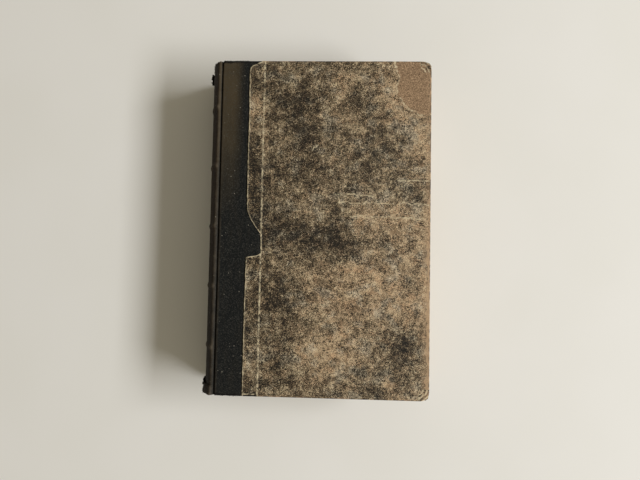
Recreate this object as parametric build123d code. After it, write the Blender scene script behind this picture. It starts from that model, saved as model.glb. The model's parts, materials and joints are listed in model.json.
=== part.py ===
from build123d import *
import os
from math import asin, atan2, cos, degrees, radians

# A book in a quarter-cloth binding, lying shut on its back cover. It is sewn on raised cords, its
# spine is rounded and backed, and its boards are laced on and hinge in the joints beside the spine.
# Millimetres. +X runs from the spine to the fore edge, +Y from tail to head, +Z from back to front.
# The origin is the middle of the closed book's base.

# The closed book
book_height = 225.0  # tail to head of the boards
book_thickness = 42.0  # outer face to outer face of the two covers
cover_width = 141.1  # middle of the joint to the fore edge
spine_bulge = 10.1  # how far the spine's cloth stands out past the joint, between its ridges

# Sheets and boards
board_thickness = 2.95
board_corner_radius = 3.0
board_hinge_radius = 0.6
cloth_thickness = 0.35
side_paper_thickness = 0.2
pastedown_thickness = 0.45  # it fills the step inside the turn-ins
flyleaf_thickness = 0.15
lining_thickness = 0.5
glue_line = 0.05  # between the layers on the rounded spine
channel_run_out = 0.1  # length of a cord's shallow channel past the crests, inside the cloth

# Quarter cloth and side paper
lap_width = 18.7  # cloth left bare on a board
cloth_underlap = 10.1  # cloth that runs on beneath the side paper
turn_in = 15.0
mitre_gap = 0.3
pastedown_margin = 4.0
worn_tail_strip = 0.6  # paper rubbed away along the tail, over the cloth

# Joints
joint_gap = 0.3  # between a cover's cloth and the spine's cloth
joint_depth = 2.6  # how far the cloth turns down into the joint
hinge_inset = 0.2  # the cover turns about a line this far inside its outer face
crest_clearance = 0.3  # left over the spine's crest when a cover lies fully open
crest_radius = 1.0  # of the folded leaves at the crest
shoulder_fillet = 0.8
cover_gap = 0.2  # between a pastedown and its flyleaf

# Text block
head_square = 3.5  # the boards stand this far past the leaves at head and tail
fore_square = 4.0
fore_edge_hollow = 5.0

# Sewing cords
cord_count = 5
cord_end_distance = 27.8  # end of the leaves to the first cord
cord_diameter = 2.4
cord_sides = 6  # flat sides of a cord as drawn
cord_tail_width = 4.0  # where the cord is frayed flat over the shoulder
cord_tail_overlap = 1.0  # along the round cord
cord_clearance = 0.2  # between a cord's flat end and the linings beside it
ridge_height = 0.6  # of the cloth over a cord
ridge_width = 4.5
slip_length = 18.0  # of the cord's end fanned out on the board
slip_spread = 14.0
slip_thickness = 0.5
slip_neck = 5.0  # length before it fans out

# Head and tail bands, and the caps of the cloth over them
band_radius = 0.9
band_sides = 6
band_flat = 0.2  # how far the band's bead is flattened on the leaves
band_to_hem = 0.1
band_span = 28.0  # across the spine
band_tongue = 8.0  # length glued under the lining
band_tongue_thickness = 0.25
cap_rounding = 3.0  # wear at the cap's outer corners

# Ragged edge of the front side paper: distance from the bare cloth's edge, and from the head
torn_corner = [(9.3, 0.0), (7.9, 2.2), (0.9, 7.6), (0.0, 10.0)]
torn_bay = [
    (0.2, 30.0),
    (0.0, 68.0),
    (0.3, 100.6),
    (1.4, 104.6),
    (3.2, 108.6),
    (6.7, 113.9),
    (9.9, 117.9),
    (10.2, 130.6),
    (7.8, 132.3),
    (0.5, 133.4),
    (0.4, 141.0),
    (0.0, 168.0),
]

# Places worked out from the sizes
half_height = book_height / 2
mid_z = book_thickness / 2
spine_reach = spine_bulge + ridge_height
joint_x = spine_reach - (spine_reach + cover_width) / 2
fore_x = joint_x + cover_width
cloth_edge = lap_width + cloth_underlap  # measured from the joint, as are the other places on a cover
board_hinge_edge = joint_gap / 2 + cloth_thickness
board_inner_depth = side_paper_thickness + board_thickness  # depths are below the outer face
cover_depth = board_inner_depth + pastedown_thickness
crest_drop = 2 * hinge_inset + crest_clearance  # an open cover lies twice the inset lower
leaf_half_height = half_height - head_square
leaf_fore_x = fore_x - fore_square
flyleaf_top = mid_z - cover_depth - cover_gap  # heights on the section are above the book's mid-plane
leaf_top = flyleaf_top - flyleaf_thickness
lining_outer = glue_line + lining_thickness  # offsets from the backs of the leaves
cloth_inner = lining_outer + glue_line
skin = cloth_inner + cloth_thickness
shoulder_x = joint_x - joint_gap / 2 - skin
crest_x = shoulder_x - crest_radius
crest_z = mid_z - crest_drop - skin - crest_radius
joint_floor = mid_z - joint_depth
spine_x = joint_x - spine_bulge + skin  # of the leaves' backs
rise = crest_x - spine_x
spine_radius = (rise**2 + crest_z**2 - crest_radius**2) / (2 * (rise - crest_radius))
spine_centre_x = spine_x + spine_radius
spine_angle = degrees(atan2(crest_z, spine_centre_x - crest_x))  # from the spine's middle to its crest
cord_angle = spine_angle - degrees(ridge_width / spine_radius)  # to where a cord is frayed flat
band_angle = degrees(asin(band_span / 2 / spine_radius))
spine_axis = Axis((spine_centre_x, 0, mid_z), (0, 1, 0))
cord_spacing = (2 * leaf_half_height - 2 * cord_end_distance) / (cord_count - 1)
cord_places = [(i - (cord_count - 1) / 2) * cord_spacing for i in range(cord_count)]
far = 2 * (book_height + cover_width + book_thickness)  # past everything


def block(x_range, y_range, z_range):
    """A box between two limits on each axis."""
    sizes = [high - low for low, high in (x_range, y_range, z_range)]
    middles = [(high + low) / 2 for low, high in (x_range, y_range, z_range)]
    return Pos(*middles) * Box(*sizes)


def along_y(section, start, end):
    """A section drawn in x and height above the mid-plane, drawn out along the book's height."""
    face = Pos(0, start, mid_z) * (Plane.XZ * section)
    return extrude(face, end - start, dir=(0, 1, 0))


def spine_curve(offset):
    """The backs of the leaves from crest to crest, as edges that stand an offset outside them."""
    crest = crest_radius + offset
    swing = 180 - spine_angle
    return [
        CenterArc((crest_x, crest_z), crest, 0, swing),
        CenterArc((spine_centre_x, 0), spine_radius + offset, swing, 2 * spine_angle),
        CenterArc((crest_x, -crest_z), crest, 180 + spine_angle, swing),
    ]


def spine_region(offset):
    """The area inside the spine's curve, closed by a line at the shoulder."""
    side = shoulder_x + offset
    return make_face(Curve() + spine_curve(offset) + [Line((side, -crest_z), (side, crest_z))])


def spine_shell(inner, outer, start, end):
    """A layer over the backs of the leaves and their shoulders, down into both joints."""
    joints = Pos(shoulder_x + far / 2, 0) * Rectangle(far, 2 * joint_floor)
    return along_y(spine_region(outer) - spine_region(inner) - joints, start, end)


def round_spine(section, half_angle):
    """A section drawn in x and y at the spine's middle, turned both ways about the spine's axis."""
    turned = revolve(Pos(0, 0, mid_z) * section, spine_axis, revolution_arc=2 * half_angle)
    return turned.rotate(spine_axis, -half_angle)


def round_cord(y, spare=0.0):
    """The round part of a sewing cord, half sunk in the leaves' backs, or the room that it needs."""
    section = RegularPolygon(cord_diameter / 2 + spare, cord_sides)
    return round_spine(Pos(spine_x, y) * section, cord_angle + degrees(spare / spine_radius))


def make_text_block():
    """Sewn sections as one solid: rounded spine, backed shoulders, sawn kerfs, hollow fore edge."""
    fillet_x = shoulder_x + shoulder_fillet
    fillet_z = leaf_top + shoulder_fillet
    outline = Curve() + spine_curve(0)
    for side, turn in ((1, 90), (-1, -90)):
        outline += Line((leaf_fore_x, side * leaf_top), (fillet_x, side * leaf_top))
        outline += CenterArc((fillet_x, side * fillet_z), shoulder_fillet, 180, turn)
        outline += Line((shoulder_x, side * fillet_z), (shoulder_x, side * crest_z))
    hollow = (leaf_fore_x - fore_edge_hollow, 0)
    outline += ThreePointArc((leaf_fore_x, leaf_top), hollow, (leaf_fore_x, -leaf_top))
    leaves = along_y(make_face(outline), -leaf_half_height, leaf_half_height)
    kerf = RegularPolygon(cord_diameter / 2 + glue_line, cord_sides)
    run_out = degrees(cord_diameter / spine_radius)
    for y in cord_places:
        leaves -= round_spine(Pos(spine_x, y) * kerf, spine_angle + run_out)
    return leaves


def make_flyleaf():
    """The front free endpaper, between the joint's fold and the fore edge."""
    low = mid_z + leaf_top
    return block(
        (shoulder_x + shoulder_fillet, leaf_fore_x),
        (-leaf_half_height, leaf_half_height),
        (low, low + flyleaf_thickness),
    )


def make_sewing_cord(y):
    """A cord across the spine, its ends frayed flat over both shoulders and into the joints."""
    half = cord_tail_width / 2
    flat = spine_shell(glue_line, lining_outer, y - half, y + half)
    round_end_x = spine_centre_x - spine_radius * cos(radians(cord_angle))
    flat &= block((round_end_x - cord_tail_overlap, far), (-far, far), (-far, far))
    return round_cord(y) + flat


def spine_layer(inner, outer, start, end):
    """The section of a layer on the rounded spine, between two offsets and two heights."""
    middle = Pos(spine_x - (inner + outer) / 2, (start + end) / 2)
    return middle * Rectangle(outer - inner, end - start)


def band_tongue_at(end, spare=0.0):
    """The tab that glues a band to the leaves' backs, or the room that it needs. end is 1 or -1."""
    bead_middle = leaf_half_height + band_radius - band_flat
    limits = sorted((end * bead_middle, end * (leaf_half_height - band_tongue - spare)))
    layer = spine_layer(glue_line - spare, glue_line + band_tongue_thickness + spare, *limits)
    return round_spine(layer, band_angle + degrees(spare / spine_radius))


def make_band(end):
    """A stuck-on band: a bead on the leaves at the spine, with its tongue under the lining."""
    bead_x = spine_x + band_radius - glue_line - band_tongue_thickness / 2
    bead_y = end * (leaf_half_height + band_radius - band_flat)
    bead = round_spine(Pos(bead_x, bead_y) * RegularPolygon(band_radius, band_sides), band_angle)
    leaves = block((-far, far), (-leaf_half_height, leaf_half_height), (-far, far))
    return bead - leaves + band_tongue_at(end)


def make_linings():
    """Paper linings glued on between the crests, in the panels between the cords, tail to head."""
    reach = cord_tail_width / 2 + cord_clearance
    starts = [-leaf_half_height] + [y + reach for y in cord_places]
    ends = [y - reach for y in cord_places] + [leaf_half_height]
    layers = [spine_layer(glue_line, lining_outer, *limits) for limits in zip(starts, ends)]
    panels = [round_spine(layer, spine_angle) for layer in layers]
    panels[0] -= band_tongue_at(-1, glue_line)
    panels[-1] -= band_tongue_at(1, glue_line)
    return panels


def make_ridge(y):
    """The low rounded ridge that a cord raises in the cloth, with domed ends short of the crests."""
    rounding = ((ridge_width / 2) ** 2 + ridge_height**2) / (2 * ridge_height)
    centre_x = spine_x - skin - ridge_height + rounding
    swell = round_spine(Pos(centre_x, y) * Circle(rounding), cord_angle)
    for side in (1, -1):
        dome = Pos(centre_x, y, mid_z) * Sphere(rounding)
        swell += dome.rotate(spine_axis, side * cord_angle)
    depth = cloth_thickness / 2 + 2 * ridge_height
    middle_x = spine_x - skin + cloth_thickness / 2 - depth / 2
    layer = Pos(middle_x, y) * Rectangle(depth, 2 * ridge_width)
    return swell & round_spine(layer, spine_angle)


def make_spine_cloth():
    """Cloth drawn over linings and cords into both joints, doubled and worn round at its ends."""
    outer = spine_shell(cloth_inner, skin, -half_height, half_height)
    hem_start = leaf_half_height + 2 * band_radius - band_flat + band_to_hem
    for end in (1, -1):
        limits = sorted((end * hem_start, end * half_height))
        outer += spine_shell(cloth_inner - cloth_thickness, skin, *limits)
    reach = cord_tail_width / 2 + cord_clearance
    channel_angle = spine_angle + degrees(channel_run_out / spine_radius)
    for y in cord_places:
        outer = outer + make_ridge(y) - round_cord(y, glue_line)
        channel = spine_layer(lining_outer, cloth_inner + glue_line, y - reach, y + reach)
        outer -= round_spine(channel, channel_angle)
    spine_edge = joint_x - spine_bulge
    caps = Pos((spine_edge - ridge_height + far) / 2, 0) * Rectangle(
        far - spine_edge + ridge_height, book_height
    )
    corners = caps.vertices().group_by(Axis.X)[0]
    caps = fillet(corners, cap_rounding)
    return outer & extrude(caps, book_thickness, dir=(0, 0, 1))


def cover_face(inset):
    """A cover's outline, drawn in by an inset at head, tail and fore edge."""
    width = cover_width - inset
    height = book_height - 2 * inset
    face = Pos(joint_x + width / 2, 0) * Rectangle(width, height)
    if inset < board_corner_radius:
        face = fillet(face.vertices().group_by(Axis.X)[-1], board_corner_radius - inset)
    return face


def cover_plate(face, outer_depth, inner_depth):
    """A face drawn out between two depths below the front cover's outer face."""
    low = Pos(0, 0, book_thickness - inner_depth) * face
    return extrude(low, inner_depth - outer_depth, dir=(0, 0, 1))


def cover_zone(start, end, outer_depth=-far, inner_depth=far):
    """Everything between two distances from the joint and two depths in the front cover."""
    top, bottom = book_thickness - outer_depth, book_thickness - inner_depth
    return block((joint_x + start, joint_x + end), (-far, far), (bottom, top))


def make_slip(y, blank):
    """A cord's end let into a board's blank: a short neck, then frayed out like a fan."""
    start, neck, end = board_hinge_edge, board_hinge_edge + slip_neck, board_hinge_edge + slip_length
    narrow, wide = cord_tail_width / 2, slip_spread / 2
    half = [(start, narrow), (neck, narrow), (end, wide)]
    outline = half + [(u, -v) for u, v in reversed(half)]
    fan = make_face(Polyline(*[(joint_x + u, y + v) for u, v in outline], close=True))
    depth = side_paper_thickness + cloth_thickness
    return cover_plate(fan, depth, depth + slip_thickness) & blank


def make_board_blank():
    """Pasteboard, let in by the cloth's thickness wherever the cloth wraps it."""
    board = cover_plate(cover_face(side_paper_thickness), side_paper_thickness, board_inner_depth)
    cloth_face_depth = side_paper_thickness + cloth_thickness
    under_cloth = cover_plate(cover_face(cloth_face_depth), cloth_face_depth, board_inner_depth)
    quarter = cover_zone(0, cloth_edge)
    board = (board - quarter) + (under_cloth & quarter)
    board &= cover_zone(board_hinge_edge, far)
    edges = board.edges().filter_by(Axis.Y).group_by(Axis.X)[0]
    return fillet(edges.sort_by(Axis.Z)[-1], board_hinge_radius)


def make_cloth_lap():
    """The cover's share of the cloth: bare strip, underlap, joint flange, head and tail turn-ins."""
    outer, inner = side_paper_thickness, side_paper_thickness + cloth_thickness
    turn_in_depth = board_inner_depth + cloth_thickness
    wrap = cover_plate(cover_face(outer), outer, turn_in_depth) & cover_zone(0, cloth_edge)
    wrap &= cover_zone(joint_gap / 2, far)
    wrap = fillet(
        wrap.edges().filter_by(Axis.Y).group_by(Axis.X)[0].sort_by(Axis.Z)[-1],
        board_hinge_radius + cloth_thickness,
    )
    core = cover_plate(cover_face(inner), inner, board_inner_depth) & cover_zone(board_hinge_edge, far)
    core = fillet(
        core.edges().filter_by(Axis.Y).group_by(Axis.X)[0].sort_by(Axis.Z)[-1], board_hinge_radius
    )
    wrap -= core
    wrap -= cover_plate(cover_face(turn_in), board_inner_depth, far)
    wrap -= cover_zone(0, board_hinge_edge, joint_depth)
    return wrap - cover_zone(lap_width, far, board_inner_depth)


def torn_face():
    """The front side paper's outer face, with its torn corner and bay at the cloth's side."""
    edge = [(joint_x + lap_width + u, half_height - v) for u, v in torn_corner + torn_bay]
    tail = -half_height + worn_tail_strip
    edge += [
        (joint_x + lap_width, tail),
        (joint_x + cloth_edge, tail),
        (joint_x + cloth_edge, -half_height),
        (fore_x, -half_height),
        (fore_x, half_height),
    ]
    return make_face(Polyline(*edge, close=True)) & cover_face(0)


def make_side_paper(outer_face, wrap_start):
    """Paper over the board: its outer face, its wrap round three edges, and mitred turn-ins."""
    inside = board_inner_depth + side_paper_thickness
    paper = cover_plate(outer_face, 0, side_paper_thickness)
    ring = cover_face(0) - cover_face(side_paper_thickness)
    paper += cover_plate(ring, 0, inside) & cover_zone(wrap_start, far)
    frame = cover_face(0) - cover_face(turn_in)
    turned = cover_plate(frame, board_inner_depth, inside) & cover_zone(lap_width, far)
    for end in (1, -1):
        corner = Pos(fore_x, end * half_height, book_thickness - inside)
        slit = Pos(-far / 2 - board_corner_radius, 0, 0) * Box(far, mitre_gap, 2 * side_paper_thickness)
        turned -= corner * Rot(0, 0, end * 45) * slit
    return paper + turned


def make_pastedown(cloth_lap, side_paper):
    """The endpaper glued inside the cover, over the turn-ins."""
    face = cover_face(pastedown_margin)
    sheet = cover_plate(face, board_inner_depth, cover_depth) & cover_zone(board_hinge_edge, far)
    return sheet - cloth_lap - side_paper


def make_cover(outer_face, wrap_start):
    """Every piece of the front cover by name, with the given outline of its side paper."""
    cloth_lap = make_cloth_lap()
    side_paper = make_side_paper(outer_face, wrap_start)
    blank = make_board_blank()
    slips = [make_slip(y, blank) for y in cord_places]
    pieces = {
        "board": blank - slips,
        "cloth_lap": cloth_lap,
        "side_paper": side_paper,
        "pastedown": make_pastedown(cloth_lap, side_paper),
    }
    for number, slip in enumerate(slips, 1):
        pieces[f"cord_slip_{number}"] = slip
    return pieces


def make_book():
    """Every piece of the book by name."""
    mid_plane = Plane.XY.offset(mid_z)
    flyleaf = make_flyleaf()
    pieces = {
        "text_block": make_text_block(),
        "front_flyleaf": flyleaf,
        "back_flyleaf": mirror(flyleaf, about=mid_plane),
        "head_band": make_band(1),
        "tail_band": make_band(-1),
        "spine_cloth": make_spine_cloth(),
    }
    for number, y in enumerate(cord_places, 1):
        pieces[f"sewing_cord_{number}"] = make_sewing_cord(y)
    for number, panel in enumerate(make_linings(), 1):
        pieces[f"spine_lining_{number}"] = panel
    for name, piece in make_cover(torn_face(), cloth_edge).items():
        pieces[f"front_{name}"] = piece
    whole_face = cover_face(0) & (Pos(joint_x + lap_width + far / 2, 0) * Rectangle(far, far))
    for name, piece in make_cover(whole_face, lap_width).items():
        pieces[f"back_{name}"] = mirror(piece, about=mid_plane)
    return pieces


os.makedirs("parts", exist_ok=True)
for node, piece in make_book().items():
    export_step(piece, f"parts/{node}.step")
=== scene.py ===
"""Looks of an old quarter-cloth book, lying shut: worn cloth spine, mottled paper sides, aged leaves.

Sizes are millimetres unless a name says otherwise. X runs from the spine to the fore edge, Y from tail
to head and Z from the back cover to the front cover. Heights called h are above the book's mid-plane.
"""
import json
import logging
import math
from dataclasses import dataclass, field
from enum import Enum
from typing import Sequence

import bpy
import numpy as np
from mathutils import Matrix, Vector, noise


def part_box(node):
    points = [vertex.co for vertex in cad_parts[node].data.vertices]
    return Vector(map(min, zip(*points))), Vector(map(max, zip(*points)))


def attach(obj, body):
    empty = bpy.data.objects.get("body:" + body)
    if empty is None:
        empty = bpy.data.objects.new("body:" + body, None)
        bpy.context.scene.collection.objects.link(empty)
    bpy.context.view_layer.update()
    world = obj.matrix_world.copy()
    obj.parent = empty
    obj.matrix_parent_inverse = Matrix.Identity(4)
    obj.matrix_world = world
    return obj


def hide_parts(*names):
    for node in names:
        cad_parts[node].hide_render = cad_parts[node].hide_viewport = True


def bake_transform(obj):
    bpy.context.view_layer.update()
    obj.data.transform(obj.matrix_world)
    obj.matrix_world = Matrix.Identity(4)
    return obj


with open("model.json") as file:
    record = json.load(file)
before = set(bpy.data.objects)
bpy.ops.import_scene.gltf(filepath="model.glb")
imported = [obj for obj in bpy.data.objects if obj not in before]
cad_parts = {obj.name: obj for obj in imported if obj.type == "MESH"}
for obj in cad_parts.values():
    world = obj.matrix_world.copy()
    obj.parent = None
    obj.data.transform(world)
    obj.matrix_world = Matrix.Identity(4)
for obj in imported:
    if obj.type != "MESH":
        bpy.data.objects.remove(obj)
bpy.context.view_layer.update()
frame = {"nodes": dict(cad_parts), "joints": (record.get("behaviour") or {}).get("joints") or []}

logger = logging.getLogger("book")
MM = 0.001
FAR = 20.0


class Side(Enum):
    """A cover's side of the book, with the sign of its heights above the mid-plane."""

    FRONT = 1
    BACK = -1

    @property
    def word(self) -> str:
        """The side's name as it stands in the names of pieces and nodes."""
        return self.name.lower()


class End(Enum):
    """An end of the book, with the sign of its Y."""

    HEAD = 1
    TAIL = -1

    @property
    def word(self) -> str:
        """The end's name as it stands in the names of pieces and nodes."""
        return self.name.lower()


@dataclass(frozen=True)
class BookSizes:
    """Sizes of the shut book, taken from the frame, and those that its surfaces share."""

    joint_x: float
    fore_x: float
    half_height: float
    thickness: float
    cloth_edge_x: float
    backs_x: float
    crest_top: float
    leaf_fore_x: float
    leaf_half_height: float
    flyleaf_low: float
    flyleaf_top: float
    pastedown_face: float
    turn_in_face: float
    cord_places: tuple[float, ...]
    crest_radius: float = 1.0
    skin: float = 0.95  # from the leaves' backs to the cloth's outer face
    half_gap: float = 0.15  # between the joint and the cloth on either side of it
    side_paper: float = 0.2
    turn_in: float = 15.0
    ridge_height: float = 0.6
    ridge_width: float = 4.6
    lap_width: float = 18.7  # cloth left bare on a cover
    half_bend: float = 0.45  # half the width of what bends in a joint

    @classmethod
    def from_frame(cls) -> "BookSizes":
        """Reads the sizes off the frame's nodes and joints.

        Returns:
            The sizes of the book in millimetres.
        """

        def corners(node: str) -> tuple[Vector, Vector]:
            """The lowest and highest corner of a node's box, in millimetres."""
            low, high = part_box(node)
            return low / MM, high / MM

        block, paper = corners("text_block"), corners("front_side_paper")
        flyleaf, pastedown = corners("front_flyleaf"), corners("front_pastedown")
        mid = paper[1].z / 2
        cords = [name for name in sorted(frame["nodes"]) if name.startswith("sewing_cord_")]
        return cls(
            joint_x=frame["joints"][0]["pos_m"][0] / MM,
            fore_x=paper[1].x,
            half_height=paper[1].y,
            thickness=paper[1].z,
            cloth_edge_x=corners("front_cloth_lap")[1].x,
            backs_x=block[0].x,
            crest_top=block[1].z - mid,
            leaf_fore_x=block[1].x,
            leaf_half_height=block[1].y,
            flyleaf_low=flyleaf[0].z - mid,
            flyleaf_top=flyleaf[1].z - mid,
            pastedown_face=pastedown[0].z - mid,
            turn_in_face=pastedown[1].z - mid,
            cord_places=tuple(sum(corner.y for corner in corners(name)) / 2 for name in cords),
        )

    @property
    def mid(self) -> float:
        """Height of the mid-plane above the surface that the book lies on."""
        return self.thickness / 2

    @property
    def cloth_face(self) -> float:
        """Height of the cloth's outer face on a cover."""
        return self.mid - self.side_paper

    @property
    def crest_x(self) -> float:
        """X of the centre of the leaves' crest."""
        return self.joint_x - self.half_gap - self.skin - self.crest_radius

    @property
    def crest_h(self) -> float:
        """Height of the centre of the leaves' crest."""
        return self.crest_top - self.crest_radius

    @property
    def spine_radius(self) -> float:
        """Radius of the leaves' rounded backs, which meet the crests without a kink."""
        rise, crest = self.crest_x - self.backs_x, self.crest_radius
        return (rise**2 + self.crest_h**2 - crest**2) / (2 * (rise - crest))

    @property
    def spine_centre_x(self) -> float:
        """X of the rounded spine's axis."""
        return self.backs_x + self.spine_radius

    @property
    def spine_angle(self) -> float:
        """Degrees from the spine's middle to its crest."""
        return math.degrees(math.atan2(self.crest_h, self.spine_centre_x - self.crest_x))

    def joint_stretch(self, side: Side) -> list[tuple[float, float, float]]:
        """Where the cloth and the paper start and end their bend in one side's joint, in metres."""
        reaches, height = (-self.half_bend, self.half_bend), self.mid + side.value * self.cloth_face
        return [((self.joint_x + reach) * MM, 0.0, height * MM) for reach in reaches]


def arc(centre: Sequence[float], radius: float, start: float, end: float, spacing: float) -> np.ndarray:
    """Points along an arc.

    Args:
        centre: X and height of the arc's centre.
        radius: Radius of the arc.
        start: First angle in degrees.
        end: Last angle in degrees.
        spacing: Rough distance between points.

    Returns:
        One row of X and height for each point.
    """
    count = max(2, round(abs(math.radians(end - start)) * radius / spacing) + 1)
    angles = np.radians(np.linspace(start, end, count))
    return np.array(centre) + radius * np.column_stack([np.cos(angles), np.sin(angles)])


def bend(start: Sequence[float], pull: Sequence[float], end: Sequence[float], count: int) -> np.ndarray:
    """Points on a curve from start to end that leans towards a third point."""
    t = np.linspace(0, 1, count)[:, None]
    return (1 - t) ** 2 * np.array(start) + 2 * t * (1 - t) * np.array(pull) + t**2 * np.array(end)


def join_lines(*lines: np.ndarray) -> np.ndarray:
    """Lines of points end to end, without the points that two of them share."""
    return np.vstack([lines[0]] + [line[1:] for line in lines[1:]])


def stops(*stretches: tuple[float, float, float]) -> np.ndarray:
    """Positions along a line, in stretches that each have their own spacing.

    Args:
        *stretches: Start, end and rough spacing of each stretch, each starting where the last ended.

    Returns:
        The positions in order.
    """
    found = [np.array([stretches[0][0]])]
    for start, end, spacing in stretches:
        count = max(1, round(abs(end - start) / spacing))
        found.append(np.linspace(start, end, count + 1)[1:])
    return np.concatenate(found)


def ease(value: np.ndarray | float) -> np.ndarray | float:
    """A smooth step from 0 to 1 as the value goes from 0 to 1."""
    t = np.clip(value, 0, 1)
    return t * t * (3 - 2 * t)


def uneven(points: np.ndarray, scale: float, seed: float, octaves: int = 3) -> np.ndarray:
    """Soft random unevenness at each point, about -1 to 1.

    Args:
        points: Points in millimetres, in an array whose last axis has 2 or 3 numbers.
        scale: Size of the largest swellings.
        seed: Moves to another part of the noise.
        octaves: Number of sizes that are added up.

    Returns:
        One value for each point.
    """
    flat = points.reshape(-1, points.shape[-1]) / scale
    if flat.shape[1] == 2:
        flat = np.column_stack([flat, np.zeros(len(flat))])
    shift = Vector((seed * 7.3, seed * 3.1, seed * 11.7))
    values = [noise.fractal(Vector(p) + shift, 1.0, 2.0, octaves) for p in flat]
    return np.array(values).reshape(points.shape[:-1])


def line_distance(points: np.ndarray, line: np.ndarray) -> np.ndarray:
    """Distance of each point in a plane from a line of points.

    Args:
        points: X and Y of each point.
        line: X and Y of the line's points in order.

    Returns:
        One distance for each point.
    """
    best = np.full(points.shape[:-1], np.inf)
    for start, end in zip(line[:-1], line[1:]):
        run = end - start
        along = np.clip(((points - start) @ run) / (run @ run), 0, 1)
        best = np.minimum(best, np.linalg.norm(points - start - along[..., None] * run, axis=-1))
    return best


def inside_distance(points: np.ndarray, outline: np.ndarray) -> np.ndarray:
    """Signed distance of each point in a plane from a closed outline.

    Args:
        points: X and Y of each point.
        outline: X and Y of the outline's corners in order.

    Returns:
        One distance for each point, above 0 inside the outline.
    """
    closed = np.vstack([outline, outline[:1]])
    x, y = points[..., 0], points[..., 1]
    inside = np.zeros(x.shape, bool)
    for (ax, ay), (bx, by) in zip(closed[:-1], closed[1:]):
        crosses = (ay > y) != (by > y)
        height = np.where(by == ay, 1.0, by - ay)
        inside ^= crosses & (x < (bx - ax) * (y - ay) / height + ax)
    return np.where(inside, 1, -1) * line_distance(points, closed)


def paint(code: str) -> tuple[float, float, float, float]:
    """A colour as a shader takes it.

    Args:
        code: The colour's usual six-digit code, after a #.

    Returns:
        Its linear red, green and blue, and full opacity.
    """
    shares = [int(code[i : i + 2], 16) / 255 for i in (1, 3, 5)]
    linear = [s / 12.92 if s <= 0.04045 else ((s + 0.055) / 1.055) ** 2.4 for s in shares]
    return (*linear, 1.0)


class Signal:
    """A node's output. Plain arithmetic on it adds Math nodes to its tree."""

    def __init__(self, desk: "Desk", socket: bpy.types.NodeSocket) -> None:
        """Wraps a socket of the desk's tree."""
        self.desk = desk
        self.socket = socket

    def maths(self, operation: str, *values: "Signal | float", clamp: bool = False) -> "Signal":
        """A Math node on the given values.

        Args:
            operation: The Math node's operation.
            *values: Its inputs in order.
            clamp: Whether the result is held between 0 and 1.

        Returns:
            The node's result.
        """
        settings = {"operation": operation, "use_clamp": clamp}
        return self.desk.add("ShaderNodeMath", settings, dict(enumerate(values)))

    def __add__(self, other: "Signal | float") -> "Signal":
        """The sum."""
        return self.maths("ADD", self, other)

    def __radd__(self, other: float) -> "Signal":
        """The sum with a plain number."""
        return self.maths("ADD", other, self)

    def __sub__(self, other: "Signal | float") -> "Signal":
        """The difference."""
        return self.maths("SUBTRACT", self, other)

    def __rsub__(self, other: float) -> "Signal":
        """What is left of a plain number."""
        return self.maths("SUBTRACT", other, self)

    def __mul__(self, other: "Signal | float") -> "Signal":
        """The product."""
        return self.maths("MULTIPLY", self, other)

    def __rmul__(self, other: float) -> "Signal":
        """The product with a plain number."""
        return self.maths("MULTIPLY", other, self)

    def __truediv__(self, other: "Signal | float") -> "Signal":
        """The quotient."""
        return self.maths("DIVIDE", self, other)

    def __pow__(self, other: float) -> "Signal":
        """The value to a power."""
        return self.maths("POWER", self, other)

    def size(self) -> "Signal":
        """The value without its sign."""
        return self.maths("ABSOLUTE", self)

    def root(self) -> "Signal":
        """The square root."""
        return self.maths("SQRT", self)

    def at_least(self, other: "Signal | float") -> "Signal":
        """The larger of two values."""
        return self.maths("MAXIMUM", self, other)

    def at_most(self, other: "Signal | float") -> "Signal":
        """The smaller of two values."""
        return self.maths("MINIMUM", self, other)

    def clamped(self) -> "Signal":
        """The value held between 0 and 1."""
        return self.maths("ADD", self, 0.0, clamp=True)

    def rise(self, low: "Signal | float", high: "Signal | float") -> "Signal":
        """A smooth step from 0 at low to 1 at high."""
        settings = {"interpolation_type": "SMOOTHSTEP", "clamp": True}
        return self.desk.add("ShaderNodeMapRange", settings, {0: self, 1: low, 2: high})


Fed = Signal | float | int | str | bool | Sequence[float] | bpy.types.ID


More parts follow.
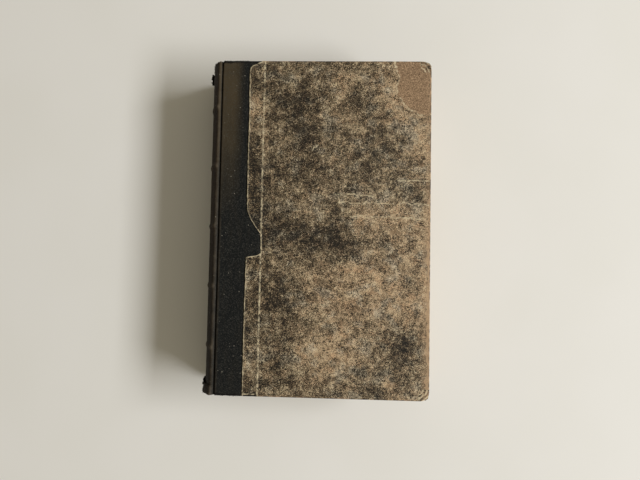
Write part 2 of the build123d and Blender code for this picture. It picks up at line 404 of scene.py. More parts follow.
class Desk:
    """Adds nodes to one tree."""

    def __init__(self, tree: bpy.types.NodeTree) -> None:
        """Works on the given tree."""
        self.tree = tree

    def node(self, kind: str, settings: dict | None = None, inputs: dict | None = None) -> bpy.types.Node:
        """Adds one node.

        Args:
            kind: The node's type.
            settings: Its own settings, set before its sockets. "stops" holds a colour ramp's stops.
            inputs: A value or a Signal for each socket, by name or place.

        Returns:
            The new node.
        """
        made = self.tree.nodes.new(kind)
        for name, value in (settings or {}).items():
            if name == "stops":
                self.set_stops(made.color_ramp, value)
            else:
                setattr(made, name, value)
        for key, value in (inputs or {}).items():
            if isinstance(value, Signal):
                self.tree.links.new(value.socket, made.inputs[key])
            else:
                made.inputs[key].default_value = value
        return made

    @staticmethod
    def set_stops(ramp: bpy.types.ColorRamp, stop_list: Sequence[tuple[float, Sequence[float]]]) -> None:
        """Gives a colour ramp its stops.

        Args:
            ramp: The colour ramp.
            stop_list: The place and the colour of each stop.
        """
        while len(ramp.elements) < len(stop_list):
            ramp.elements.new(1.0)
        for element, (place, colour) in zip(ramp.elements, stop_list):
            element.position, element.color = place, colour

    def add(
        self, kind: str, settings: dict | None = None, inputs: dict | None = None, out: int | str = 0
    ) -> Signal:
        """Adds one node, as node does, and returns one of its outputs."""
        return Signal(self, self.node(kind, settings, inputs).outputs[out])

    def vector(self, operation: str, *values: Fed, out: int | str = 0, **named: Fed) -> Signal:
        """A Vector Math node's result."""
        inputs = dict(enumerate(values)) | named
        return self.add("ShaderNodeVectorMath", {"operation": operation}, inputs, out)

    def blend(self, factor: Fed, first: Fed, second: Fed, mode: str = "MIX") -> Signal:
        """Two colours mixed, from the first at 0 to the second at 1."""
        settings = {"data_type": "RGBA", "blend_type": mode}  # its colours: inputs 6 and 7, output 2
        return self.add("ShaderNodeMix", settings, {0: factor, 6: first, 7: second}, 2)

    def noise(
        self,
        place: Signal,
        size: float,
        detail: float = 2.0,
        roughness: float = 0.5,
        shift: float = 0.0,
        out: int = 0,
    ) -> Signal:
        """Noise whose spots have about the given size in the units of place.

        Args:
            place: Where the noise is read.
            size: Size of the spots.
            detail: Number of finer layers.
            roughness: Weight of the finer layers.
            shift: Moves to another part of the noise.
            out: 0 for a number, about 0.5, and 1 for a colour.

        Returns:
            The noise's value.
        """
        moved = self.vector("ADD", place, (shift * 13.7, shift * 5.3, shift * 9.1))
        inputs = {"Vector": moved, "Scale": 1.0 / size, "Detail": detail, "Roughness": roughness}
        return self.add("ShaderNodeTexNoise", {}, inputs, out)

    def place_mm(self) -> Signal:
        """The place on the object at rest, in millimetres."""
        coordinates = self.add("ShaderNodeTexCoord", {}, {}, "Object")
        return self.vector("SCALE", coordinates, Scale=1 / MM)

    def parts(self, vector: Signal) -> list[Signal]:
        """The three numbers of a vector."""
        split = self.node("ShaderNodeSeparateXYZ", {}, {0: vector})
        return [Signal(self, output) for output in split.outputs]

    def joined(self, x: Fed = 0.0, y: Fed = 0.0, z: Fed = 0.0) -> Signal:
        """A vector from three numbers."""
        return self.add("ShaderNodeCombineXYZ", {}, {0: x, 1: y, 2: z})

    def attribute(self, name: str, out: str = "Fac") -> Signal:
        """A value that the mesh holds at its vertices."""
        return self.add("ShaderNodeAttribute", {"attribute_name": name}, {}, out)

    def stroke(self, place: Signal, start: Sequence[float], end: Sequence[float]) -> Signal:
        """Distance from a straight stroke on the cover, seen from above.

        Args:
            place: The place in millimetres, with no height.
            start: X and Y of the stroke's start.
            end: X and Y of its end.

        Returns:
            The distance in millimetres.
        """
        run = Vector((end[0] - start[0], end[1] - start[1], 0.0))
        offset = self.vector("SUBTRACT", place, (start[0], start[1], 0.0))
        along = self.vector("DOT_PRODUCT", offset, tuple(run / run.length_squared), out="Value")
        nearest = self.vector("SCALE", tuple(run), Scale=along.clamped())
        return self.vector("LENGTH", self.vector("SUBTRACT", offset, nearest), out="Value")


def shaded(name: str) -> tuple[bpy.types.Material, Desk, bpy.types.Node]:
    """A new material with one plain shader.

    Args:
        name: The material's name.

    Returns:
        The material, a desk for its nodes and its shader node.
    """
    material = bpy.data.materials.new(name)
    material.use_nodes = True
    material.node_tree.nodes.clear()
    desk = Desk(material.node_tree)
    shader = desk.node("ShaderNodeBsdfPrincipled")
    output = desk.node("ShaderNodeOutputMaterial")
    material.node_tree.links.new(shader.outputs[0], output.inputs[0])
    return material, desk, shader


def dress(
    desk: Desk, shader: bpy.types.Node, sockets: dict[str, Fed], relief: Signal, depth: float
) -> None:
    """Feeds a shader and gives it a relief.

    Args:
        desk: The desk of the material's tree.
        shader: The shader node.
        sockets: A value or a Signal for each of the shader's sockets.
        relief: Height of the surface, about 0 to 1.
        depth: What 1 of relief is worth, in millimetres.
    """
    bump = desk.add("ShaderNodeBump", {}, {"Distance": depth * MM, "Height": relief})
    for name, value in (sockets | {"Normal": bump}).items():
        if isinstance(value, Signal):
            desk.tree.links.new(value.socket, shader.inputs[name])
        else:
            shader.inputs[name].default_value = value


@dataclass(frozen=True)
class Scuff:
    """A pale scratch through the side paper's colour, from the joint and the tail's edge."""

    start: tuple[float, float]
    end: tuple[float, float]
    width: float = 0.45


@dataclass(frozen=True)
class MottledPaper:
    """Sponge-mottled side paper, rubbed pale at its edges and bare in places."""

    sizes: BookSizes
    side: Side
    scuffs: tuple[Scuff, ...] = ()
    black: str = "#120e08"
    dark: str = "#2e271c"
    middle: str = "#6a5a45"
    tan: str = "#a18866"
    pale: str = "#cec1a2"
    warm: str = "#7a6148"
    cool: str = "#4e4b42"
    bare: str = "#6a523b"
    core: str = "#d8caa9"
    rubbed: str = "#b39676"
    grime: str = "#20170f"

    def make(self) -> bpy.types.Material:
        """Builds the material.

        Returns:
            The material, which reads the mesh's values darkness, torn, patch and corner.
        """
        material, desk, shader = shaded(f"{self.side.word}_mottled_paper")
        place = desk.place_mm()
        swirl = desk.noise(place, 2.2, 2, 0.5, 1.0, out=1)
        stirred = desk.vector("MULTIPLY_ADD", swirl, (3.0, 3.0, 3.0), place)
        light = self.lightness(desk, place, stirred)
        colour = self.mottling(desk, place, light)
        ragged = (desk.noise(place, 2.2, 4, 0.65, 8.0) - 0.5) * 2

        wide_bays = (desk.noise(place, 6.0, 2, 0.6, 26.0) - 0.5) * 6.0
        patch = desk.attribute("patch") + ragged * 1.1 + wide_bays
        fibres = desk.noise(desk.vector("MULTIPLY", stirred, (1.0, 0.7, 1.0)), 0.6, 2, 0.7, 9.0)
        bare = desk.blend(fibres.rise(0.38, 0.64), paint(self.bare), paint(self.rubbed))
        inside = patch.rise(-1.2, 0.6) * (0.65 + light.rise(0.1, 0.5) * 0.32)
        colour = desk.blend(inside, colour, bare)
        lip = 1 - (patch + 0.3).size().rise(0.25, 0.8)
        lip = lip * desk.noise(place, 6.0, 2, 0.5, 10.0).rise(0.4, 0.52)
        colour = self.worn_edges(desk, place, ragged, colour)
        pale, fray = self.rubbed_lines(desk, place, ragged, lip)
        broken = 0.1 + desk.noise(place, 2.0, 3, 0.7, 14.0).rise(0.4, 0.56) * 0.9
        colour = desk.blend((pale * broken).at_least(fray) * 0.8, colour, paint(self.core))
        relief = light * 0.25 + fibres * 0.4 + (1 - pale) * 0.4
        relief = relief + desk.noise(place, 0.5, 2, 0.6, 16.0) * 0.35
        roughness = 0.55 + desk.noise(place, 4.0, 3, 0.6, 17.0) * 0.2 + pale * 0.15
        sockets = {"Base Color": colour, "Roughness": roughness, "Specular IOR Level": 0.3}
        dress(desk, shader, sockets, relief, 0.07)
        return material

    def lightness(self, desk: Desk, place: Signal, stirred: Signal) -> Signal:
        """How light the mottling is: soft clouds broken up into clumps, curled fibres and specks.

        Args:
            desk: The desk of the material's tree.
            place: The place in millimetres.
            stirred: The place, stirred so that what is read there curls.

        Returns:
            The lightness, about 0 to 1.
        """
        clouds = desk.noise(place, 7.0, 3, 0.6, 4.0) - 0.5
        clumps = desk.noise(stirred, 2.8, 3, 0.6, 3.0) - 0.5
        crumbs = desk.noise(stirred, 1.05, 1, 0.6, 21.0) - 0.5
        fibres = desk.noise(stirred, 0.36, 1, 0.6, 2.0) - 0.5
        curls = 1 - (desk.noise(stirred, 0.9, 1, 0.5, 5.0) - 0.5).size().rise(0.0, 0.05)
        specks = desk.noise(place, 0.5, 1, 0.5, 18.0).rise(0.6, 0.7)
        tone = 0.3 - (desk.attribute("darkness") - 0.5) * 1.9
        broken = clouds * 1.5 + clumps * 1.35 + crumbs * 1.2 + fibres * 3.9
        return tone + broken + curls * 0.18 + specks * 0.34

    def mottling(self, desk: Desk, place: Signal, light: Signal) -> Signal:
        """The printed mottling's colour.

        Args:
            desk: The desk of the material's tree.
            place: The place in millimetres.
            light: How light the mottling is there.

        Returns:
            The colour.
        """
        ramp = {"stops": (
            (0.0, paint(self.black)), (0.24, paint(self.dark)), (0.5, paint(self.middle)),
            (0.76, paint(self.tan)), (1.0, paint(self.pale)),
        )}
        colour = desk.add("ShaderNodeValToRGB", ramp, {0: light.clamped()})
        warmth = desk.noise(place, 5.0, 4, 0.7, 6.0).rise(0.47, 0.64) * 0.35
        warmth += (1 - desk.attribute("darkness").rise(0.36, 0.56)) * 0.35
        colour = desk.blend(warmth, colour, paint(self.warm), "COLOR")
        coolness = desk.noise(place, 9.0, 3, 0.6, 7.0).rise(0.5, 0.66) * 0.45
        return desk.blend(coolness, colour, paint(self.cool), "COLOR")

    def worn_edges(self, desk: Desk, place: Signal, ragged: Signal, colour: Signal) -> Signal:
        """The colour with the three free edges rubbed pale, their rims soiled and their corners split.

        Args:
            desk: The desk of the material's tree.
            place: The place in millimetres.
            ragged: Unevenness, about -1 to 1.
            colour: The colour so far.

        Returns:
            The colour.
        """
        x, y, _ = desk.parts(place)
        fore = self.sizes.fore_x - x
        ends = self.sizes.half_height - y.size()
        wide_bays = (desk.noise(place, 9.0, 3, 0.6, 11.0) - 0.5) * 9.0
        worn = fore + ragged * 1.3 - wide_bays + y.rise(-50.0, 50.0) * 2.2
        rub = (1 - worn.rise(2.0, 3.4)).at_least((1 - worn.rise(2.0, 7.0)) * 0.45)
        brink = 1 - (worn - 3.0).size().rise(0.15, 0.55)
        brink = brink * desk.noise(place, 2.5, 3, 0.6, 24.0).rise(0.46, 0.6)
        end_rub = 1 - (ends + ragged * 0.8).rise(0.2, 1.1)
        end_rub = end_rub * desk.noise(place, 6.0, 2, 0.6, 12.0).rise(0.4, 0.6)
        colour = desk.blend(rub.at_least(end_rub) * 0.75, colour, paint(self.rubbed))
        colour = self.lifted_tail(desk, place, ragged, colour)
        rim = 1 - fore.at_most(ends).rise(0.3, 0.9)
        soiled = rim * desk.noise(place, 3.5, 3, 0.6, 15.0).rise(0.4, 0.6)
        soiled = (soiled * 0.85).at_least(brink * 0.6)
        return self.split_corners(desk, place, ragged, soiled, colour)

    def lifted_tail(self, desk: Desk, place: Signal, ragged: Signal, colour: Signal) -> Signal:
        """The colour with the paper lifted off the cloth at the tail: a pale torn line and the cloth bared.

        Args:
            desk: The desk of the material's tree.
            place: The place in millimetres.
            ragged: Unevenness, about -1 to 1.
            colour: The colour so far.

        Returns:
            The colour.
        """
        x, y, _ = desk.parts(place)
        ends = self.sizes.half_height - y.size()
        tail = (1 - (x - self.sizes.cloth_edge_x).rise(-2.0, 0.5)) * (1 - y.rise(-1.0, 1.0))
        lifted = tail * (1 - (ends + ragged * 0.9 - 1.4).size().rise(0.2, 0.65))
        lifted = lifted * desk.noise(place, 2.5, 3, 0.6, 27.0).rise(0.42, 0.56)
        colour = desk.blend(lifted * 0.65, colour, paint(self.core))
        bared = tail * (1 - (ends + ragged * 0.5).rise(0.7, 1.1))
        return desk.blend(bared, colour, paint(self.black))

    def split_corners(
        self, desk: Desk, place: Signal, ragged: Signal, soiled: Signal, colour: Signal
    ) -> Signal:
        """The colour with the fore-edge corners split into pale plies with dark lines between them.

        Args:
            desk: The desk of the material's tree.
            place: The place in millimetres.
            ragged: Unevenness, about -1 to 1.
            soiled: How dirty the paper is otherwise.
            colour: The colour so far.

        Returns:
            The colour.
        """
        y = desk.parts(place)[1]
        corner = desk.attribute("corner") + ragged * 0.7
        near = 1 - corner.size().rise(3.5, 6.0)
        plies = corner * 2.6 + (desk.noise(place, 4.0, 2, 0.6, 25.0) - 0.5) * 7.0
        plies = plies.maths("SINE", plies) * 0.5 + 0.5
        colour = desk.blend(near * plies.rise(0.55, 0.8) * 0.6, colour, paint(self.core))
        # Dark lines in the splits and in the gaps between the plies.
        gaps = desk.noise(place, 2.5, 2, 0.6, 23.0).rise(0.4, 0.55)
        slit = 1 - ((corner + 0.6).size() / (1 + y.rise(0.0, 1.0) * 2)).rise(0.2, 0.65)
        slit = slit * (0.35 + gaps * 0.65)
        split = slit.at_least(near * (1 - plies.rise(0.12, 0.4)) * gaps)
        return desk.blend(soiled.at_least(split * 0.9), colour, paint(self.grime))

    def rubbed_lines(self, desk: Desk, place: Signal, ragged: Signal, lip: Signal) -> tuple[Signal, Signal]:
        """Where the paper's pale core shows.

        Args:
            desk: The desk of the material's tree.
            place: The place in millimetres.
            ragged: Unevenness, about -1 to 1.
            lip: Where the edge of the bare patch shows it.

        Returns:
            How bare the rubbed lines are, and how bare the torn edge is.
        """
        sizes = self.sizes
        x, y, _ = desk.parts(place)
        fray = 1 - (desk.attribute("torn") + ragged * 0.6).rise(0.15, 0.75)
        fray = fray * (0.25 + desk.noise(place, 3.0, 3, 0.7, 22.0).rise(0.4, 0.58) * 0.75)
        crease = 1 - (x - sizes.cloth_edge_x + ragged * 0.45).size().rise(0.25, 0.8)
        crease = crease * (0.35 + desk.noise(place, 4.5, 3, 0.6, 13.0).rise(0.44, 0.56) * 0.65)
        pale = lip.at_least(crease)
        wander = (desk.noise(place, 5.0, 3, 0.6, 19.0) - 0.5) * 5.0
        flat = desk.joined(x, y + wander, 0.0)
        for scuff in self.scuffs:
            ends_mm = [(sizes.joint_x + u, up - sizes.half_height) for u, up in (scuff.start, scuff.end)]
            reach = desk.stroke(flat, *ends_mm) + ragged * 0.3
            pale = pale.at_least((1 - reach.rise(scuff.width * 0.5, scuff.width * 1.3)) * 0.85)
        return pale, fray


@dataclass(frozen=True)
class BookCloth:
    """Black book cloth, faded brown where it is handled, with a fine even weave, a painted highlight on its
    rubbed ridges and painted shade along its torn ends.
    """

    sizes: BookSizes
    black: str = "#0b0e0f"
    faded: str = "#433928"
    brown: str = "#190e05"
    tawny: str = "#2b1c0d"
    # The pale of rubbed cloth, which is also the painted highlight on its ridges.
    worn: str = "#5a5042"
    grain: str = "#4b4a45"
    dust: str = "#b9b2a4"
    # The black of the painted shade along the cloth's torn ends.
    soot: str = "#050505"
    thread_pitch: float = 0.42

    def make(self) -> bpy.types.Material:
        """Builds the material.

        Returns:
            The material, which reads the mesh's values along and rubbed.
        """
        sizes = self.sizes
        material, desk, shader = shaded("book_cloth")
        place = desk.place_mm()
        x, y, z = desk.parts(place)
        along = desk.attribute("along", "Vector")
        run, rise, _ = desk.parts(along)
        turn = 2 * math.pi / self.thread_pitch
        warp = (run * turn).maths("SINE", run * turn)
        weft = (rise * turn).maths("SINE", rise * turn)
        weave = (warp * weft) * 0.5 + 0.5
        u = x - sizes.joint_x
        cloudy = desk.noise(place, 16.0, 3, 0.55, 1.0)
        streaky = desk.noise(desk.vector("MULTIPLY", place, (1.0, 0.16, 1.0)), 2.2, 3, 0.6, 2.0)
        fade = (1 - u.rise(7.0, 16.5)) * y.rise(-5.0, 95.0)
        outside = (z - sizes.mid).size().rise(sizes.cloth_face - 1.2, sizes.cloth_face - 0.5)
        fade = (fade * (0.6 + cloudy * 0.8) + (streaky - 0.5) * 0.45).clamped() * outside
        colour = desk.blend(fade, paint(self.black), paint(self.faded))
        spine_side = 1 - u.rise(-3.2, -1.8)
        brown = desk.blend(streaky.rise(0.3, 0.7), paint(self.brown), paint(self.tawny))
        brown = desk.blend((1 - y.rise(-70.0, 20.0)) * 0.45, brown, paint(self.black))
        colour = desk.blend(spine_side, colour, brown)
        patchy = desk.noise(place, 5.0, 3, 0.6, 3.0)
        # Rubbed pale: wear, and a painted highlight on the crest, the joint's edge and the cords.
        rubbed = desk.attribute("rubbed") * (0.35 + patchy.rise(0.35, 0.7) * 0.65)
        rubbed = rubbed * outside.at_least(1 - u.rise(0.5, 1.5))
        colour = desk.blend(rubbed.clamped() * 0.7, colour, paint(self.worn))
        grain = desk.noise(place, 0.5, 1, 0.6, 4.0)
        colour = desk.blend(grain.rise(0.5, 0.72) * 0.6, colour, paint(self.grain))
        cells = desk.node("ShaderNodeTexVoronoi", {}, {"Vector": place, "Scale": 0.4})
        chance = desk.parts(Signal(desk, cells.outputs["Color"]))[0]
        dust = (1 - Signal(desk, cells.outputs["Distance"]).rise(0.06, 0.17)) * chance ** 5
        colour = desk.blend(dust * 0.7, colour, paint(self.dust))
        # Painted shade: a ragged black line along the cloth's torn ends at head and tail, on the cover's
        # side of the joint.
        nearness = sizes.half_height - y.size() + (patchy - 0.5) * 5.0 + (grain - 0.5) * 2.5
        end_shade_mask = (1 - nearness.rise(0.8, 1.9)) * u.rise(-0.5, 0.5)
        colour = desk.blend(end_shade_mask * 0.9, colour, paint(self.soot))
        relief = weave * 0.45 + grain * 0.5 + patchy * 0.4
        roughness = 0.72 + grain * 0.15 - rubbed * 0.12
        sockets = {"Base Color": colour, "Roughness": roughness, "Specular IOR Level": 0.2}
        dress(desk, shader, sockets, relief, 0.08)
        return material


@dataclass(frozen=True)
class PlainStock:
    """Aged paper, board, thread or cord with soft stains and a grain."""

    name: str
    base: str
    stain: str
    speck: str
    stain_size: float = 20.0
    grain_size: float = 0.6
    grain_stretch: tuple[float, float, float] = (1.0, 1.0, 1.0)
    relief: float = 0.04
    roughness: float = 0.85

    def make(self) -> bpy.types.Material:
        """Builds the material.

        Returns:
            The material.
        """
        material, desk, shader = shaded(self.name)
        place = desk.place_mm()
        stained = desk.noise(place, self.stain_size, 4, 0.6, 1.0).rise(0.42, 0.72)
        colour = desk.blend(stained, paint(self.base), paint(self.stain))
        grain = desk.noise(desk.vector("MULTIPLY", place, self.grain_stretch), self.grain_size, 3, 0.6, 2.0)
        colour = desk.blend(grain.rise(0.35, 0.75) * 0.35, colour, paint(self.stain))
        spots = desk.noise(place, 2.3, 2, 0.5, 3.0).rise(0.66, 0.76)
        spots = spots * desk.noise(place, 25.0, 2, 0.5, 4.0).rise(0.45, 0.6)
        colour = desk.blend(spots * 0.6, colour, paint(self.speck))
        sockets = {"Base Color": colour, "Roughness": self.roughness + (grain - 0.5) * 0.1}
        dress(desk, shader, sockets | {"Specular IOR Level": 0.25}, grain, self.relief)
        return material


@dataclass(frozen=True)
class LeafEdges:
    """The cut edges of the leaves: cream, browned by dust and light, each leaf a little different."""

    sizes: BookSizes
    clean: str = "#c3b18b"
    brown: str = "#8d7350"
    dirt: str = "#5b4a35"

    def make(self) -> bpy.types.Material:
        """Builds the material.

        Returns:
            The material, which reads the mesh's value leaf, the leaf's share of the way through the book.
        """
        material, desk, shader = shaded("leaf_edges")
        place = desk.place_mm()
        x, y, _ = desk.parts(place)
        leaf = desk.attribute("leaf")
        lines = desk.noise(desk.joined(leaf * 60, 0.0, x * 0.01 + y * 0.012), 0.25, 3, 0.7, 1.0)
        bands = desk.noise(desk.joined(leaf * 60, 0.0, 0.0), 6.0, 2, 0.6, 2.0)
        stains = desk.noise(place, 30.0, 3, 0.55, 3.0)
        browned = (lines * 0.7 + bands * 0.5).rise(0.4, 0.85)
        colour = desk.blend(browned, paint(self.clean), paint(self.brown))
        colour = desk.blend(stains.rise(0.5, 0.75) * 0.6, colour, paint(self.dirt))
        outer = leaf.size().rise(0.9, 1.0) * 0.5
        dusty = y.rise(self.sizes.leaf_half_height - 1.5, self.sizes.leaf_half_height) * 0.35
        colour = desk.blend(outer.at_least(dusty), colour, paint(self.dirt))
        sockets = {"Base Color": colour, "Roughness": 0.9, "Specular IOR Level": 0.2}
        dress(desk, shader, sockets, desk.noise(place, 0.6, 2, 0.6, 4.0), 0.03)
        return material


def add_object(name: str, data: bpy.types.ID) -> bpy.types.Object:
    """A new object in the scene, at the origin.

    Args:
        name: The object's name.
        data: Its mesh, light or camera.

    Returns:
        The object.
    """
    made = bpy.data.objects.new(name, data)
    bpy.context.scene.collection.objects.link(made)
    return made


def shade(piece: bpy.types.Object, smooth: bool) -> None:
    """Shades all the faces of a piece smooth or flat."""
    piece.data.polygons.foreach_set("use_smooth", [smooth] * len(piece.data.polygons))


@dataclass
class Draft:
    """One piece's points, faces and vertex values, before it becomes a mesh."""

    sizes: BookSizes
    side: Side
    points: list[np.ndarray] = field(default_factory=list)
    faces: list[tuple[int, ...]] = field(default_factory=list)
    values: dict[str, list[np.ndarray]] = field(default_factory=dict)

    def add_grid(self, grid: np.ndarray, wrap: bool = False, **values: np.ndarray) -> np.ndarray:
        """Adds a grid of points with four-sided faces between them.

        Args:
            grid: Points by row and column: X, Y and height. Rows crossed with columns face outwards.
            wrap: Whether each row's last point joins its first.
            **values: A number, or a vector, for each point.

        Returns:
            Each point's place in the piece, by row and column.
        """
        rows, columns = grid.shape[:2]
        start = sum(len(block) for block in self.points)
        index = start + np.arange(rows * columns).reshape(rows, columns)
        self.points.append(grid.reshape(-1, 3))
        for name, value in values.items():
            self.values.setdefault(name, []).append(value.reshape(rows * columns, -1))
        if wrap:
            index = np.hstack([index, index[:, :1]])
        corners = [index[:-1, :-1], index[1:, :-1], index[1:, 1:], index[:-1, 1:]]
        self.faces += list(map(tuple, np.stack([c.ravel() for c in corners], axis=1).tolist()))
        return index

    def add_face(self, corners: Sequence[int]) -> None:
        """Adds one face over points that are already there."""
        self.faces.append(tuple(int(corner) for corner in corners))

    def make(self, name: str, finish: bpy.types.Material, weld: float = 0.0) -> bpy.types.Object:
        """Turns the draft into an object in metres, mirrored for the back of the book.

        Args:
            name: The piece's name.
            finish: Its material.
            weld: Points nearer to each other than this are merged.

        Returns:
            The new object, at the origin.
        """
        placed = np.vstack(self.points) * [1, 1, self.side.value]
        placed[:, 2] += self.sizes.mid
        faces = self.faces if self.side is Side.FRONT else [face[::-1] for face in self.faces]
        mesh = bpy.data.meshes.new(name)
        mesh.from_pydata((placed * MM).tolist(), [], faces)
        for key, blocks in self.values.items():
            block = np.vstack(blocks).astype(np.float32)
            kind = "FLOAT" if block.shape[1] == 1 else "FLOAT_VECTOR"
            layer = mesh.attributes.new(key, kind, "POINT")
            layer.data.foreach_set("value" if kind == "FLOAT" else "vector", block.ravel())
        mesh.materials.append(finish)
        piece = add_object(name, mesh)
        shade(piece, smooth=True)
        if weld:
            merge = piece.modifiers.new("merge", "WELD")
            merge.merge_threshold = weld * MM
        return piece


def settle(piece: bpy.types.Object) -> bpy.types.Object:
    """Turns a piece with modifiers into a plain mesh and removes them.

    Args:
        piece: The piece.

    Returns:
        The same piece.
    """
    graph = bpy.context.evaluated_depsgraph_get()
    mesh = bpy.data.meshes.new_from_object(piece.evaluated_get(graph))
    piece.modifiers.clear()
    piece.data = mesh
    return piece


def thicken(piece: bpy.types.Object, thickness: float) -> bpy.types.Object:
    """Gives a sheet its thickness on its inner side and closes its edges.

    Args:
        piece: The sheet, as its outer face.
        thickness: Its thickness.

    Returns:
        The same piece.
    """
    solid = piece.modifiers.new("thickness", "SOLIDIFY")
    solid.thickness = thickness * MM
    solid.offset = -1.0
    return settle(piece)


@dataclass
class GrownPiece:
    """A piece that a node tree grows: the tree's named inputs, its desk and its start."""

    name: str
    inputs: dict[str, tuple[str, object]]

    def __post_init__(self) -> None:
        """Makes the tree with its inputs, its desk and its start."""
        self.tree = bpy.data.node_groups.new(self.name, "GeometryNodeTree")
        self.identifiers = {}
        face = self.tree.interface
        face.new_socket("Geometry", in_out="OUTPUT", socket_type="NodeSocketGeometry")
        face.new_socket("Geometry", in_out="INPUT", socket_type="NodeSocketGeometry")
        for title, (kind, _) in self.inputs.items():
            made = face.new_socket(title, in_out="INPUT", socket_type=f"NodeSocket{kind}")
            self.identifiers[title] = made.identifier
        self.desk = Desk(self.tree)
        self.start = self.desk.node("NodeGroupInput")

    def input(self, title: str) -> Signal:
        """One of the tree's inputs."""
        return Signal(self.desk, self.start.outputs[title])

    def random(self, low: Fed, high: Fed, draw: int) -> Signal:
        """A random number for each element, from low to high; draw sets the tree's draws apart."""
        inputs = {2: low, 3: high, "Seed": self.input("Seed") + draw}  # its plain numbers: output 1
        return self.desk.add("FunctionNodeRandomValue", {"data_type": "FLOAT"}, inputs, 1)

    def spaced(self) -> list[Signal]:
        """Points along the starting line, one Pitch apart, and their rotations.

        Returns:
            The points and the rotations.
        """
        curve = self.desk.add("GeometryNodeMeshToCurve", {}, {0: self.input("Geometry")})
        inputs = {0: curve, "Length": self.input("Pitch")}
        made = self.desk.node("GeometryNodeCurveToPoints", {"mode": "LENGTH"}, inputs)
        return [Signal(self.desk, made.outputs[name]) for name in ("Points", "Rotation")]

    def circle(self, resolution: int, radius: str) -> Signal:
        """A circle whose radius is the input of that name."""
        inputs = {"Resolution": resolution, "Radius": self.input(radius)}
        return self.desk.add("GeometryNodeCurvePrimitiveCircle", {}, inputs)

    def tilted(self, rotation: Signal, *angles: Fed) -> Signal:
        """A rotation followed by a tilt about its own axes.

        Args:
            rotation: The rotation.
            *angles: The tilt's angles about X, Y and Z.

        Returns:
            Both together.
        """
        tilt = self.desk.add("FunctionNodeEulerToRotation", {}, {0: self.desk.joined(*angles)})
        inputs = {0: rotation, 1: tilt}
        return self.desk.add("FunctionNodeRotateRotation", {"rotation_space": "LOCAL"}, inputs)

    def grow(self, line: np.ndarray | None = None) -> bpy.types.Object:
        """Runs the tree and keeps its result as a plain mesh.

        Args:
            line: Points in metres of the line that the tree starts from, if it has one.

        Returns:
            The new object, at the origin.
        """
        mesh = bpy.data.meshes.new(self.name)
        if line is not None:
            mesh.from_pydata(line.tolist(), [(i, i + 1) for i in range(len(line) - 1)], [])
        piece = add_object(self.name, mesh)
        growth = piece.modifiers.new("growth", "NODES")
        growth.node_group = self.tree
        for title, (_, value) in self.inputs.items():
            growth[self.identifiers[title]] = value
        shade(settle(piece), smooth=True)
        return piece

    def end(self, geometry: Signal) -> None:
        """Ends the tree.

        Args:
            geometry: What the tree grew, which becomes real and takes its material.
        """
        real = self.desk.add("GeometryNodeRealizeInstances", {}, {0: geometry})
        dressed = self.desk.add("GeometryNodeSetMaterial", {}, {0: real, "Material": self.input("Finish")})
        self.desk.node("NodeGroupOutput", {}, {0: dressed})


def facing(line: np.ndarray) -> np.ndarray:
    """Unit vectors square to a line of points in a plane.

    Args:
        line: X and height of the line's points in order.

    Returns:
        One vector for each point, on the line's left.
    """
    run = np.gradient(line, axis=0)
    run /= np.linalg.norm(run, axis=1)[:, None]
    return np.column_stack([-run[:, 1], run[:, 0]])


def fold_over(
    edge: np.ndarray,
    outward: np.ndarray,
    down: np.ndarray,
    drop: np.ndarray | float,
    back: np.ndarray | float,
    radius: float,
) -> np.ndarray:
    """Rows of points that carry a sheet round an edge, down it and back in underneath.

    Args:
        edge: Points where the sheet starts to turn, one row for each.
        outward: Unit vectors that point away from the sheet.
        down: Unit vectors that point through the sheet.
        drop: Depth from the sheet to its turned-in part, for all points or for each.
        back: How far the sheet reaches back in.
        radius: Radius of both folds.

    Returns:
        For each point of the edge, the points that follow it.
    """
    drop, back = [np.broadcast_to(np.asarray(size, float), len(edge))[:, None] for size in (drop, back)]
    rings = []
    for turn in np.radians([30, 60, 90]):
        rings.append(edge + radius * (outward * math.sin(turn) + down * (1 - math.cos(turn))))
    for turn in np.radians([0, 30, 60, 90]):
        depth = drop - radius * (1 - math.sin(turn))
        rings.append(edge + outward * radius * math.cos(turn) + down * depth)
    for share in (0.1, 0.4, 1.0):
        rings.append(edge - outward * back * share + down * drop)
    return np.stack(rings, axis=1)


